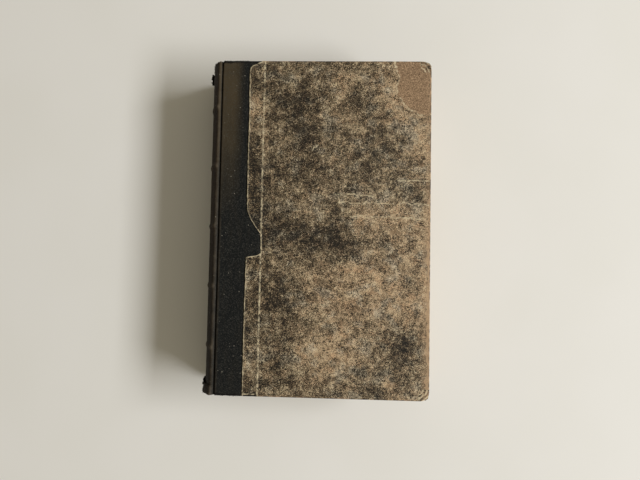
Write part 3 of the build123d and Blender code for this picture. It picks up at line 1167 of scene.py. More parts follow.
@dataclass
class FrayedEdge:
    """Loose ends of threads that stand out of the cloth where its edge is worn through."""

    name: str
    body: str
    finish: bpy.types.Material
    way: tuple[float, float, float]
    pitch: float = 0.4
    reach: float = 0.8
    thread: float = 0.26
    spread: float = 0.9
    flatness: float = 1.0
    shortest: float = 0.35
    seed: int = 3

    def make(self, line: np.ndarray) -> bpy.types.Object:
        """Grows the threads.

        Args:
            line: Points of the cloth's edge in millimetres: X, Y and Z.

        Returns:
            The piece, which rides on the body.
        """
        grown = GrownPiece(self.name, {
            "Pitch": ("Float", self.pitch * MM),
            "Reach": ("Float", self.reach * MM),
            "Thread Radius": ("Float", self.thread / 2 * MM),
            "Way": ("Vector", self.way),
            "Spread": ("Float", self.spread),
            "Flatness": ("Float", self.flatness),
            "Seed": ("Int", self.seed),
            "Finish": ("Material", self.finish),
        })
        desk, of = grown.desk, grown.input
        reach = of("Reach")
        path = {
            "Resolution": 4,
            "Start": desk.joined(0.0, 0.0, -0.3 * reach),
            "Middle": desk.joined(0.0, 0.0, reach * 0.4),
            "End": desk.joined(reach * 0.45, 0.0, reach * 0.8),
        }
        bent = {0: desk.add("GeometryNodeCurveQuadraticBezier", {}, path)}
        bent |= {1: grown.circle(3, "Thread Radius"), "Fill Caps": True}
        thread = desk.add("GeometryNodeCurveToMesh", {}, bent)
        faced = desk.add("FunctionNodeAlignRotationToVector", {"axis": "Z"}, {"Vector": of("Way")})
        tilts = [grown.random(-1 * of("Spread"), of("Spread"), draw) for draw in range(2)]
        turned = grown.tilted(faced, *tilts, grown.random(0.0, 2 * math.pi, 2))
        inputs = {"Points": grown.spaced()[0], "Instance": thread, "Rotation": turned}
        inputs["Scale"] = desk.joined(1.0, of("Flatness"), grown.random(self.shortest, 1.0, 3))
        grown.end(desk.add("GeometryNodeInstanceOnPoints", {}, inputs))
        piece = grown.grow(line * MM)
        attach(piece, self.body)
        return piece


@dataclass
class CoverCloth:
    """The binding cloth from the middle of the spine, through one joint and onto one cover."""

    sizes: BookSizes
    side: Side
    finish: bpy.types.Material
    loose: bpy.types.Material
    cloth: float = 0.3
    spine_spacing: float = 0.6
    crest_spacing: float = 0.28
    edge_spacing: float = 0.22
    bare_spacing: float = 1.0
    covered_spacing: float = 2.0
    end_spacing: float = 0.45
    panel_spacing: float = 1.2
    ridge_spacing: float = 0.55
    trough_angle: float = 25.0  # degrees at which the cloth leaves the crest for the joint
    trough_dip: float = 0.65
    edge_radius: float = 0.95
    fold_radius: float = 0.34
    hem: float = 6.0  # turned in over the spine
    hem_drop: float = 0.72
    cap_rounding: float = 3.4  # depth of the spine over which its ends are worn round
    cap_droop: float = 3.9  # how far they are worn back in the middle
    wide_swell: float = 0.08
    fine_swell: float = 0.03
    flare: float = 1.9  # of the spine at the tail
    flare_length: float = 8.0
    flare_height: float = 9.0
    flare_spread: float = 12.0
    end_shift_length: float = 14.0  # rows nearer to an end than this are drawn in with it
    tuft_reach: float = 11.0  # length of the spine's head that is worn through
    tail_tuft_share: float = 0.7  # share of that length at the tail
    tuft_point: int = 4  # profile point along which the tufts grow
    crest_clearance: float = 4.0  # the spine's threads keep this far below the covers' outer faces
    threads: list[bpy.types.Object] = field(default_factory=list)

    def profile(self) -> np.ndarray:
        """The cloth's outer face across the book, from the spine's middle to its edge.

        Returns:
            X and height of each point.
        """
        s = self.sizes
        middle, turn, radius = (s.spine_centre_x, 0), 180 - s.spine_angle, s.spine_radius + s.skin
        spine = arc(middle, radius, 180, turn, self.spine_spacing)
        middle, radius = (s.crest_x, s.crest_h), s.crest_radius + s.skin
        crest = arc(middle, radius, turn, self.trough_angle, self.crest_spacing)
        middle = (s.joint_x + s.half_gap + self.edge_radius, s.cloth_face - self.edge_radius)
        edge = arc(middle, self.edge_radius, 180, 90, self.edge_spacing)
        foot = (s.joint_x - s.half_gap / 2, crest[-1][1] - self.trough_dip)
        trough = bend(crest[-1], foot, edge[0], 8)
        bare = s.joint_x + s.lap_width
        run = stops((edge[-1][0], bare, self.bare_spacing), (bare, s.cloth_edge_x, self.covered_spacing))
        lap = np.column_stack([run, np.full(len(run), s.cloth_face)])
        return join_lines(spine, crest, trough, edge, lap)

    def heights(self) -> np.ndarray:
        """Where the rows of points stand, closer together at the ends and over the cords.

        Returns:
            Y of each row.
        """
        s = self.sizes
        marks = [-s.half_height, -s.half_height + self.flare_length]
        for place in sorted(s.cord_places):
            marks += [place - 0.7 * s.ridge_width, place + 0.7 * s.ridge_width]
        marks += [s.half_height - self.flare_length, s.half_height]
        spacings = [self.end_spacing] + [self.panel_spacing, self.ridge_spacing] * len(s.cord_places)
        spacings += [self.panel_spacing, self.end_spacing]
        return stops(*zip(marks[:-1], marks[1:], spacings))

    def make(self) -> bpy.types.Object:
        """Builds the cloth.

        Returns:
            The piece.
        """
        s = self.sizes
        profile, heights = self.profile(), self.heights()
        x, h = profile[:, :1], profile[:, 1:]
        normal = facing(profile)
        run = np.concatenate([[0], np.cumsum(np.linalg.norm(np.diff(profile, axis=0), axis=1))])[:, None]
        on_cover = ease((x - s.joint_x - 0.2) / 0.9)
        on_spine = ease((s.crest_x + 0.6 - x) / 1.6)
        y = self.spread(x, h, on_spine, heights)

        across = np.stack(np.broadcast_arrays(y, run), axis=-1)
        ridge = sum(np.clip(1 - (2 * (y - cord) / s.ridge_width) ** 2, 0, 1) ** 2 for cord in s.cord_places)
        swell = ridge * s.ridge_height * on_spine
        swell += uneven(across, 14.0, 5.0) * self.wide_swell + uneven(across, 3.0, 6.0, 2) * self.fine_swell
        tail = ease((self.flare_length - s.half_height - y) / self.flare_length)
        beside = ease(1 - np.abs(h - self.flare_height) / self.flare_spread)
        swell += self.flare * on_spine * tail**2 * (0.6 + 0.5 * beside)
        face = np.stack([x + normal[:, :1] * swell, y, h + normal[:, 1:] * swell], axis=-1)

        down = (1 - on_cover) * -normal + on_cover * np.array([0.0, -1.0])
        down /= np.linalg.norm(down, axis=1)[:, None]
        down = np.insert(down, 1, 0.0, axis=1)
        under_paper = ease(x[:, 0] - s.joint_x - s.lap_width + 0.5)
        drop = self.hem_drop + (s.cloth_face - s.turn_in_face - self.hem_drop) * on_cover[:, 0]
        drop -= s.side_paper * under_paper
        back = self.hem + (s.turn_in - self.hem) * on_cover[:, 0]
        tail_fold, head_fold = [
            fold_over(edge, np.array([0.0, sign, 0.0]), down, drop, back, self.fold_radius)
            for edge, sign in ((face[:, 0], -1), (face[:, -1], 1))
        ]
        grid = np.concatenate([tail_fold[:, ::-1], face, head_fold], axis=1)

        self.fray(face, on_spine, on_cover)

        weave = np.stack([np.broadcast_to(run, grid.shape[:2]), grid[..., 1], grid[..., 0] * 0], axis=-1)
        draft = Draft(s, self.side)
        # Wear, with a painted highlight on the crest, the joint's edge and the cords, for the finish to
        # read.
        draft.add_grid(grid, along=weave, rubbed=self.wear(grid, x, on_spine))
        piece = draft.make(f"{self.side.word}_cloth", self.finish)
        thicken(piece, self.cloth)
        start, end = s.joint_stretch(self.side)
        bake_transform(piece)
        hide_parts(f"{self.side.word}_cloth_lap", "spine_cloth")
        return piece

    def fray(self, face: np.ndarray, on_spine: np.ndarray, on_cover: np.ndarray) -> None:
        """Grows loose threads along the cloth's ends.

        Args:
            face: The cloth's outer face, by profile point and row.
            on_spine: 1 where the cloth is on the spine.
            on_cover: 1 where the cloth is on the cover.
        """
        mid = self.sizes.mid
        face = face * (1, 1, self.side.value) + (0, 0, mid)
        for end in End:
            edge = face[:, 0 if end is End.TAIL else -1]
            clear = np.abs(edge[:, 2] - mid) < mid - self.crest_clearance
            name = f"{self.side.word}_{end.word}_spine_threads"
            threads = FrayedEdge(name, "text_block", self.loose, (-0.45, 0.9 * end.value, 0.0))
            self.threads.append(threads.make(edge[clear & (on_spine[:, 0] > 0.9)]))
            if self.side is Side.FRONT:
                self.threads.append(self.cover_threads(end, edge[on_cover[:, 0] > 0.9]))
                self.threads.append(self.tuft(end, face[self.tuft_point]))

    def cover_threads(self, end: End, edge: np.ndarray) -> bpy.types.Object:
        """Grows the threads at one end of the bare cloth on the front cover.

        Args:
            end: The end of the book.
            edge: The cloth's edge there, on the cover.

        Returns:
            The piece, which rides on the cover.
        """
        bare = edge[edge[:, 0] < self.sizes.joint_x + self.sizes.lap_width]
        way = (0.0, float(end.value), -0.3)
        name = f"{end.word}_cover_threads"
        threads = FrayedEdge(name, "front_cover", self.loose, way, pitch=0.3, reach=0.7, thread=0.32)
        return threads.make(bare)

    def tuft(self, end: End, strip: np.ndarray) -> bpy.types.Object:
        """Grows the tuft of threads where the cloth is worn through over one end of the spine.

        Args:
            end: The end of the book.
            strip: The cloth's outer face along the spine, by row.

        Returns:
            The piece, which rides on the leaves.
        """
        from_end = self.sizes.half_height - end.value * strip[:, 1]
        reach = self.tuft_reach * (1.0 if end is End.HEAD else self.tail_tuft_share)
        way = (-1.0, 0.3 * end.value, 0.4)
        shape = {"pitch": 0.2, "reach": 3.0, "thread": 1.7, "spread": 0.5, "flatness": 0.5, "seed": 7}
        threads = FrayedEdge(f"{end.word}_tuft", "text_block", self.loose, way, **shape)
        return threads.make(strip[(from_end > 0.2) & (from_end < reach)])

    def spread(self, x: np.ndarray, h: np.ndarray, on_spine: np.ndarray, heights: np.ndarray) -> np.ndarray:
        """Y of every point: the rows drawn in at the cloth's rounded, ragged ends.

        Args:
            x: X of each profile point, as a column.
            h: Height of each profile point, as a column.
            on_spine: 1 where the cloth is on the spine and 0 on the cover.
            heights: Y of each row before.

        Returns:
            Y by profile point and row.
        """
        s = self.sizes
        near = np.clip(self.cap_rounding - (x - x[0]), 0, self.cap_rounding)
        rounding = self.cap_droop * (1 - np.sqrt(1 - (near / self.cap_rounding) ** 2))
        y = np.broadcast_to(heights, (len(x), len(heights))).copy()
        for end in End:
            places = np.column_stack([x * 2, h + end.value * 50])
            ragged = np.abs(uneven(places, 2.5, 3.0 + self.side.value))[:, None]
            short = rounding + ragged * (0.15 + 0.8 * on_spine) + self.fold_radius
            nearness = ease(1 - (s.half_height - end.value * heights) / self.end_shift_length)
            y -= end.value * short * nearness
        return y

    def wear(self, grid: np.ndarray, x: np.ndarray, on_spine: np.ndarray) -> np.ndarray:
        """How worn the cloth is: on the crest, the cords, the joint and the ends; on the crest, the cords
        and the joint the pale is also a painted highlight.

        Args:
            grid: The cloth's points, by profile point and row.
            x: X of each profile point, as a column.
            on_spine: 1 where the cloth is on the spine and 0 on the cover.

        Returns:
            The wear of each point, with the painted highlight, 0 to 1.
        """
        s = self.sizes
        y = grid[..., 1]
        # The crest, the joint's edge and the cords are rubbed pale, and this pale is also a painted
        # highlight on these ridges.
        crest = np.exp(-(((x - s.crest_x) / 1.3) ** 2)) * 0.8
        edge = np.exp(-(((x - s.joint_x - 0.9) / 0.6) ** 2)) * 0.5
        ends = np.exp(-(s.half_height - np.abs(y)) / 1.2) * 0.5
        cords = sum(np.exp(-(((y - cord) / 2.0) ** 2)) for cord in s.cord_places) * on_spine * 0.5
        return np.clip(crest + edge + ends + cords, 0, 1)


@dataclass(frozen=True)
class Blot:
    """A darker or lighter cloud of the mottling, placed from the joint and the tail's edge."""

    place: tuple[float, float]
    reach: tuple[float, float]
    depth: float


@dataclass
class SidePaper:
    """The mottled paper of one cover, folded over its three free edges."""

    sizes: BookSizes
    side: Side
    finish: bpy.types.Material
    torn: tuple[tuple[float, float], ...] = ((0.0, 0.0), (0.0, 300.0))
    bare_patch: tuple[tuple[float, float], ...] = ()
    blots: tuple[Blot, ...] = ()
    spacing: float = 1.3
    edge_spacing: float = 0.35
    end_spacing: float = 0.45
    fore_spacing: float = 0.5
    crease_strip: float = 2.0
    fore_strip: float = 7.0
    end_strip: float = 12.0
    notch: tuple[float, float] = (100, 136)  # closer rows, from the head, where the edge is torn in
    settled: float = 40.0  # distance from the joint where the torn edge stops shifting the points
    paper: float = 0.18
    fold_radius: float = 0.5
    corner_radius: float = 6.0
    lift: float = 0.35  # of the torn edge off the cloth
    lift_reach: float = 1.6
    raggedness: float = 0.32
    wide_swell: float = 0.06
    fine_swell: float = 0.02
    cloth_step: float = 0.13  # drop of the paper past the edge of the cloth under it
    lean: float = 0.2  # how much darker the mottling is beside the cloth
    seed: float = 1.0

    def make(self) -> bpy.types.Object:
        """Builds the paper.

        Returns:
            The piece, which rides on its cover.
        """
        s = self.sizes
        face, torn = self.face()
        draft = Draft(s, self.side)
        draft.add_grid(face, torn=torn, **self.values(face))
        edge = np.concatenate([face[:, -1], face[-1, -2::-1], face[-2::-1, 0]])
        edge_torn = np.concatenate([torn[:, -1], torn[-1, -2::-1], torn[-2::-1, 0]])
        outward, back = self.edge_turns(edge)
        drop = edge[:, 2] - s.turn_in_face
        fold = fold_over(edge, outward, np.array([0.0, 0.0, -1.0]), drop, back, self.fold_radius)
        apron = np.concatenate([edge[:, None], fold], axis=1)
        torn_apron = np.broadcast_to(edge_torn[:, None], apron.shape[:2])
        draft.add_grid(apron, torn=torn_apron, **self.values(apron))
        piece = draft.make(f"{self.side.word}_paper", self.finish, weld=0.002)
        thicken(piece, self.paper)
        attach(piece, f"{self.side.word}_cover")
        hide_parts(f"{self.side.word}_side_paper")
        return piece

    def face(self) -> tuple[np.ndarray, np.ndarray]:
        """The paper's outer face.

        Returns:
            Its points, from the cloth to the fore edge and from tail to head, and each point's distance
            from the edge along the cloth.
        """
        s = self.sizes
        width, length, inset = s.fore_x - s.joint_x, 2 * s.half_height, self.fold_radius
        crease, fore = s.cloth_edge_x - s.joint_x + self.crease_strip, width - self.fore_strip
        u = stops(
            (s.lap_width, crease, self.edge_spacing), (crease, fore, self.spacing),
            (fore, width - inset, self.fore_spacing),
        )
        down = np.array([dh for _, dh in self.torn])
        offsets = np.array([offset for offset, _ in self.torn])
        head, low, high, tail = self.end_strip, *self.notch, length - self.end_strip
        y = stops(
            (inset, head, self.end_spacing), (head, low, self.spacing), (low, high, self.end_spacing),
            (high, tail, self.spacing), (tail, length - inset, self.end_spacing),
        )
        y = s.half_height - y[::-1]
        offset = np.interp(s.half_height - y, down, offsets)
        offset = offset + uneven(np.column_stack([y, y * 0]), 1.8, self.seed) * self.raggedness
        left = s.lap_width + offset
        share = np.clip((self.settled - u) / (self.settled - s.lap_width), 0, 1)[:, None]
        x = s.joint_x + u[:, None] + share * (left - s.lap_width)
        y = np.broadcast_to(y, x.shape).copy()
        torn = self.torn_distance(x, y)
        x, y = self.round_corners(x, y)
        places = np.stack([x, y], axis=-1)
        h = np.full(x.shape, s.mid)
        raised = ease(1 - torn / self.lift_reach)
        raised = raised * (0.35 + 0.65 * ease(uneven(places, 9.0, self.seed + 1) + 0.5))
        step = s.cloth_edge_x + uneven(places, 6.0, self.seed + 2) * 0.4
        h += self.lift * raised - self.cloth_step * ease((x - step) / 0.8)
        brim = 0.06 * np.exp(-(((x - step) / 0.5) ** 2))
        h += brim + uneven(places, 30.0, self.seed + 3) * self.wide_swell
        h += uneven(places, 4.0, self.seed + 4, 2) * self.fine_swell
        h = np.minimum(h, s.mid + (self.lift if self.side is Side.FRONT else 0.0))
        return np.stack([x, y, h], axis=-1), torn

    def torn_distance(self, x: np.ndarray, y: np.ndarray) -> np.ndarray:
        """Distance of each point from the paper's edge along the cloth.

        Args:
            x: X of each point, from the cloth on.
            y: Y of each point.

        Returns:
            One distance for each point.
        """
        s = self.sizes
        line = [(s.joint_x + s.lap_width + offset, s.half_height - dh) for offset, dh in self.torn]
        near = x < s.joint_x + self.settled
        distance = np.full(x.shape, FAR)
        distance[near] = line_distance(np.stack([x[near], y[near]], axis=-1), np.array(line))
        return np.minimum(distance, x - x[0])

    def round_corners(self, x: np.ndarray, y: np.ndarray) -> tuple[np.ndarray, np.ndarray]:
        """Draws the two fore-edge corners in to a round outline.

        Args:
            x: X of each point.
            y: Y of each point.

        Returns:
            X and Y of each point.
        """
        s = self.sizes
        reach = self.corner_radius - self.fold_radius
        start_x = s.fore_x - self.corner_radius
        start_y = s.half_height - self.corner_radius
        a = np.clip((x - start_x) / reach, 0, 1)
        b = np.clip((np.abs(y) - start_y) / reach, 0, 1)
        both = (a > 0) & (b > 0)
        round_x = start_x + reach * a * np.sqrt(1 - b**2 / 2)
        round_y = np.sign(y) * (start_y + reach * b * np.sqrt(1 - a**2 / 2))
        return np.where(both, round_x, x), np.where(both, round_y, y)

    def edge_turns(self, edge: np.ndarray) -> tuple[np.ndarray, np.ndarray]:
        """The way out of the paper at each point of its edge, and how far it can turn back in.

        Args:
            edge: The points of the edge.

        Returns:
            Unit vectors, and lengths that end at the mitres.
        """
        s = self.sizes
        start_x = s.fore_x - self.corner_radius
        start_y = s.half_height - self.corner_radius
        past_x = np.clip(edge[:, 0] - start_x, 0, None)
        past_y = np.clip(np.abs(edge[:, 1]) - start_y, 0, None)
        outward = np.column_stack([past_x, np.sign(edge[:, 1]) * past_y, np.zeros(len(edge))])
        outward[past_y == 0] = (1.0, 0.0, 0.0)
        flat = past_x == 0
        none = np.zeros(flat.sum())
        outward[flat] = np.column_stack([none, np.sign(edge[flat, 1]), none])
        outward /= np.linalg.norm(outward, axis=1)[:, None]
        from_fore = s.fore_x - edge[:, 0]
        from_end = s.half_height - np.abs(edge[:, 1])
        lean = np.abs(outward[:, 1]) - outward[:, 0]
        even = np.abs(lean) < 1e-3
        to_mitre = np.abs(from_end - from_fore) / np.where(even, 1.0, np.abs(lean))
        to_mitre = np.where(even, self.corner_radius, to_mitre)
        return outward, np.clip(to_mitre, self.fold_radius, s.turn_in)

    def values(self, points: np.ndarray) -> dict[str, np.ndarray]:
        """What the finish reads at each point.

        Args:
            points: The points.

        Returns:
            darkness, the share of dark in the mottling; patch, the distance inside the bare patch; and
            corner, the distance from the worn line at a fore-edge corner.
        """
        s = self.sizes
        x, y = points[..., 0], points[..., 1]
        u, up = x - s.joint_x, y + s.half_height
        places = np.stack([x, y], axis=-1)
        darkness = 0.5 + uneven(places, 22.0, self.seed + 5) * 0.09
        darkness = darkness + self.lean * (0.5 - u / (s.fore_x - s.joint_x))
        for blot in self.blots:
            away = ((u - blot.place[0]) / blot.reach[0]) ** 2 + ((up - blot.place[1]) / blot.reach[1]) ** 2
            darkness = darkness + blot.depth * np.exp(-away * 0.7)
        patch = np.full(x.shape, -FAR)
        if self.bare_patch:
            outline = [(s.fore_x - fore, s.half_height - dh) for fore, dh in self.bare_patch]
            near = (s.fore_x - x < 40) & (s.half_height - y < 50)
            patch[near] = inside_distance(places[near], np.array(outline))
        reach = self.corner_radius + 2.0
        past = np.stack([x - s.fore_x + reach, np.abs(y) - s.half_height + reach], axis=-1)
        corner = np.where((past > 0).all(axis=-1), reach - np.linalg.norm(past, axis=-1), 10.0)
        return {"darkness": darkness, "patch": patch, "corner": corner - 1.2}


@dataclass
class Pasteboard:
    """One cover's board, whose plies have parted and worn back at the fore-edge corners."""

    sizes: BookSizes
    side: Side
    finish: bpy.types.Material
    top_drop: float = 0.4
    inner_face: float = 18.15
    inset: float = 0.26
    hinge_inset: float = 0.75
    plies: int = 9
    groove: float = 0.12
    corner_radius: float = 3.0
    worn_radius: float = 6.6
    worn_reach: float = 9.0  # how far the wear reaches from a corner
    worn_depth: float = 0.9
    seed: float = 4.0

    def outline(self, radius: float, inset: float, wobble: float) -> np.ndarray:
        """One ply's outline.

        Args:
            radius: Radius of the fore-edge corners.
            inset: How far the outline is drawn in.
            wobble: Moves to another part of the unevenness.

        Returns:
            X and Y of its points, anticlockwise from the head end of the hinge edge.
        """
        s = self.sizes
        left = s.joint_x + self.hinge_inset
        right, top = s.fore_x - self.inset - inset, s.half_height - self.inset - inset
        loop = [
            np.linspace(top, -top, 36), np.linspace(left, right - radius, 28),
            np.linspace(radius - top, top - radius, 40),
        ]
        turns = np.linspace(0, math.pi / 2, 15)
        corner = np.column_stack([np.sin(turns), -np.cos(turns)]) * radius
        tail_corner = corner + (right - radius, radius - top)
        head_corner = corner[::-1] * (1, -1) + (right - radius, top - radius)
        hinge = np.column_stack([np.full(len(loop[0]), left), loop[0]])
        tail = np.column_stack([loop[1][1:-1], np.full(len(loop[1]) - 2, -top)])
        fore = np.column_stack([np.full(len(loop[2]) - 2, right), loop[2][1:-1]])
        points = np.vstack([hinge, tail, tail_corner, fore, head_corner, tail[::-1] * (1, -1)])
        from_fore, from_end = s.fore_x - points[:, 0], s.half_height - np.abs(points[:, 1])
        near = np.exp(-(from_fore / self.worn_reach)) * np.exp(-from_end / self.worn_reach)
        shift = uneven(points, 2.0, self.seed + wobble)[:, None] * near[:, None] * self.worn_depth
        return points - shift * np.sign(points) * (points[:, :1] > 0)

    def make(self) -> bpy.types.Object:
        """Builds the board.

        Returns:
            The piece, which rides on its cover.
        """
        s = self.sizes
        top = s.mid - self.top_drop
        ply = (top - self.inner_face) / self.plies
        rings = []
        for i in range(self.plies):
            worn = max(0.0, 1 - i / (self.plies * 0.7)) ** 1.3
            radius = self.corner_radius + (self.worn_radius - self.corner_radius) * worn
            high = top - i * ply
            for drop, inset in ((0.0, self.groove), (0.22, 0.0), (0.8, 0.0), (0.98, self.groove)):
                outline = self.outline(radius, inset, i * 0.37)
                rings.append(np.column_stack([outline, np.full(len(outline), high - drop * ply)]))
        draft = Draft(s, self.side)
        index = draft.add_grid(np.stack(rings, axis=0)[:, ::-1], wrap=True)
        draft.add_face(index[0, :-1][::-1])
        draft.add_face(index[-1, :-1])
        piece = settle(draft.make(f"{self.side.word}_pasteboard", self.finish))
        shade(piece, smooth=False)
        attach(piece, f"{self.side.word}_cover")
        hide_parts(f"{self.side.word}_board")
        return piece


@dataclass
class Endpapers:
    """The pasted-down leaf, the free leaf and the strip that joins them in the hinge, at one cover."""

    sizes: BookSizes
    side: Side
    finish: bpy.types.Material
    margin: float = 4.0
    hinge_inset: float = 0.45
    paper: float = 0.14
    spacing: float = 2.5
    rim_spacing: float = 0.25
    step: float = 0.1  # from the turn-ins down to the board inside them
    cockle: float = 0.03

    def sheet(
        self, name: str, box: Sequence[float], height: float, facing_out: bool, seed: float
    ) -> bpy.types.Object:
        """One flat, slightly cockled sheet.

        Args:
            name: The piece's name.
            box: Its lowest X, highest X and half its height.
            height: Height of its visible face.
            facing_out: Whether that face looks out of the book.
            seed: Moves to another part of the unevenness.

        Returns:
            The sheet.
        """
        s = self.sizes
        low, high, half = box
        rim = self.rim_spacing
        x = stops((low, high - 1, self.spacing), (high - 1, high, rim))
        y = stops((-half, 1 - half, rim), (1 - half, half - 1, self.spacing), (half - 1, half, rim))
        grid = np.stack([*np.meshgrid(x, y, indexing="ij"), np.full((len(x), len(y)), height)], axis=-1)
        if not facing_out:
            from_fore = s.fore_x - s.turn_in - grid[..., 0]
            from_end = s.half_height - s.turn_in - np.abs(grid[..., 1])
            grid[..., 2] += self.step * ease(np.minimum(from_fore, from_end) / 2.5)
        inward = -1 if facing_out else 1
        grid[..., 2] += inward * np.abs(uneven(grid[..., :2], 35.0, seed)) * self.cockle
        draft = Draft(s, self.side)
        draft.add_grid(grid if facing_out else grid[:, ::-1])
        return thicken(draft.make(f"{self.side.word}_{name}", self.finish), self.paper)

    def make(self) -> list[bpy.types.Object]:
        """Builds the three pieces.

        Returns:
            The pasted-down leaf, the free leaf and the hinge strip.
        """
        s, word = self.sizes, self.side.word
        low = s.joint_x + self.hinge_inset
        pasted_box = (low, s.fore_x - self.margin, s.half_height - self.margin)
        pasted = self.sheet("pasted_endpaper", pasted_box, s.pastedown_face, False, 1.0)
        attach(pasted, f"{word}_cover")
        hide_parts(f"{word}_pastedown")
        free_box = (low, s.leaf_fore_x, s.leaf_half_height)
        free = self.sheet("free_endpaper", free_box, s.flyleaf_top, True, 2.0)
        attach(free, "text_block")
        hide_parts(f"{word}_flyleaf")
        strip = self.hinge_strip()
        return [pasted, free, strip]

    def hinge_strip(self) -> bpy.types.Object:
        """Builds the paper in the hinge.

        Returns:
            The piece.
        """
        s, word = self.sizes, self.side.word
        leaf_side = bend((0.55, -3.78), (-0.35, -3.7), (-0.18, -3.0), 7)
        cover_side = bend((-0.18, -3.0), (0.0, -2.3), (0.6, -3.46), 9)
        path = join_lines(leaf_side, cover_side) + (s.joint_x, s.cloth_face)
        y = stops((-s.leaf_half_height, s.leaf_half_height, 3.0))
        grid = np.empty((len(path), len(y), 3))
        grid[..., 0], grid[..., 1], grid[..., 2] = path[:, :1], y, path[:, 1:]
        draft = Draft(s, self.side)
        draft.add_grid(grid[::-1])
        strip = thicken(draft.make(f"{word}_hinge_paper", self.finish), self.paper)
        start, end = s.joint_stretch(self.side)
        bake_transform(strip)
        return strip


@dataclass
class LeafStack:
    """The sewn leaves, one by one, with rounded backs, spread shoulders and a hollow fore edge."""

    sizes: BookSizes
    finish: bpy.types.Material
    leaves: int = 170
    fore_hollow: float = 5.0
    crest_slack: float = 0.35
    paper_share: float = 0.84  # of the room that each leaf has
    uneven_backs: float = 0.1
    uneven_fore: float = 0.35
    waves: float = 0.35
    bunching: float = 2.6  # power that draws a leaf's points towards its back
    shortest: float = 0.9975
    seed: int = 7

    def make(self) -> bpy.types.Object:
        """Grows the leaves.

        Returns:
            The piece, which rides on the text block's body.
        """
        s = self.sizes
        block = s.flyleaf_low - 0.05
        pitch = 2 * block / self.leaves
        grown = GrownPiece("leaf_stack", {
            "Leaves": ("Int", self.leaves),
            "Half Thickness": ("Float", block * MM),
            "Flared Half Thickness": ("Float", (s.crest_top - self.crest_slack) * MM),
            "Spine Radius": ("Float", s.spine_radius * MM),
            "Spine Centre": ("Float", s.spine_centre_x * MM),
            "Fore Edge": ("Float", s.leaf_fore_x * MM),
            "Fore Hollow": ("Float", self.fore_hollow * MM),
            "Leaf Height": ("Float", 2 * s.leaf_half_height * MM),
            "Leaf Thickness": ("Float", pitch * self.paper_share * MM),
            "Flare Start": ("Float", (s.crest_x + s.crest_radius) * MM),
            "Flare End": ("Float", (s.joint_x + 0.8) * MM),
            "Middle": ("Float", s.mid * MM),
            "Seed": ("Int", self.seed),
            "Finish": ("Material", self.finish),
        })
        desk, of = grown.desk, grown.input
        count = {"Count": of("Leaves"), "Offset": (0, 0, 0)}
        points = desk.add("GeometryNodeMeshLine", {"mode": "OFFSET"}, count)
        order = desk.add("GeometryNodeInputIndex")
        place = (order + 0.5) / of("Leaves") * 2 - 1
        flared = place * of("Flared Half Thickness")
        back = of("Spine Centre") - (of("Spine Radius") ** 2 - flared**2).root()
        back = back + grown.random(0.0, self.uneven_backs * MM, 0)
        fore = of("Fore Edge") - of("Fore Hollow") * (1 - place**2)
        fore = fore - grown.random(0.0, self.uneven_fore * MM, 1)
        spot = desk.joined(back, 0.0, of("Middle") + place * of("Half Thickness"))
        points = desk.add("GeometryNodeSetPosition", {}, {0: points, "Position": spot})
        stored = {"Geometry": points, "Name": "leaf", "Value": place}
        number = {"data_type": "FLOAT"}
        points = desk.add("GeometryNodeStoreNamedAttribute", number | {"domain": "POINT"}, stored)
        size = desk.joined(1.0, of("Leaf Height"), of("Leaf Thickness"))
        counts = {"Vertices X": 14, "Vertices Y": 12, "Vertices Z": 2}
        leaf = desk.add("GeometryNodeMeshCube", {}, {"Size": size} | counts)
        along = desk.parts(desk.add("GeometryNodeInputPosition"))
        bunched = (along[0] + 0.5).clamped() ** self.bunching
        bunched = desk.joined(bunched, along[1], along[2])
        leaf = desk.add("GeometryNodeSetPosition", {}, {0: leaf, "Position": bunched})
        scale = desk.joined(fore - back, grown.random(self.shortest, 1.0, 2), 1.0)
        inputs = {"Points": points, "Instance": leaf, "Scale": scale}
        placed = desk.add("GeometryNodeInstanceOnPoints", {}, inputs)
        real = desk.add("GeometryNodeRealizeInstances", {}, {0: placed})
        x, y, _ = desk.parts(desk.add("GeometryNodeInputPosition"))
        share = desk.add("GeometryNodeInputNamedAttribute", number, {"Name": "leaf"})
        spread = of("Flared Half Thickness") - of("Half Thickness")
        lift = share * spread * (1 - x.rise(of("Flare Start"), of("Flare End")))
        wave = desk.noise(desk.joined(x * 12, y * 12, share * 9), 1.0, 2.0, 0.5) - 0.5
        wave = wave * (1 - share**2) * (self.waves * MM)
        shifted = desk.joined(0.0, 0.0, lift + wave)
        grown.end(desk.add("GeometryNodeSetPosition", {}, {0: real, "Offset": shifted}))
        piece = grown.grow()
        shade(piece, smooth=False)
        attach(piece, "text_block")
        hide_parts("text_block")
        return piece


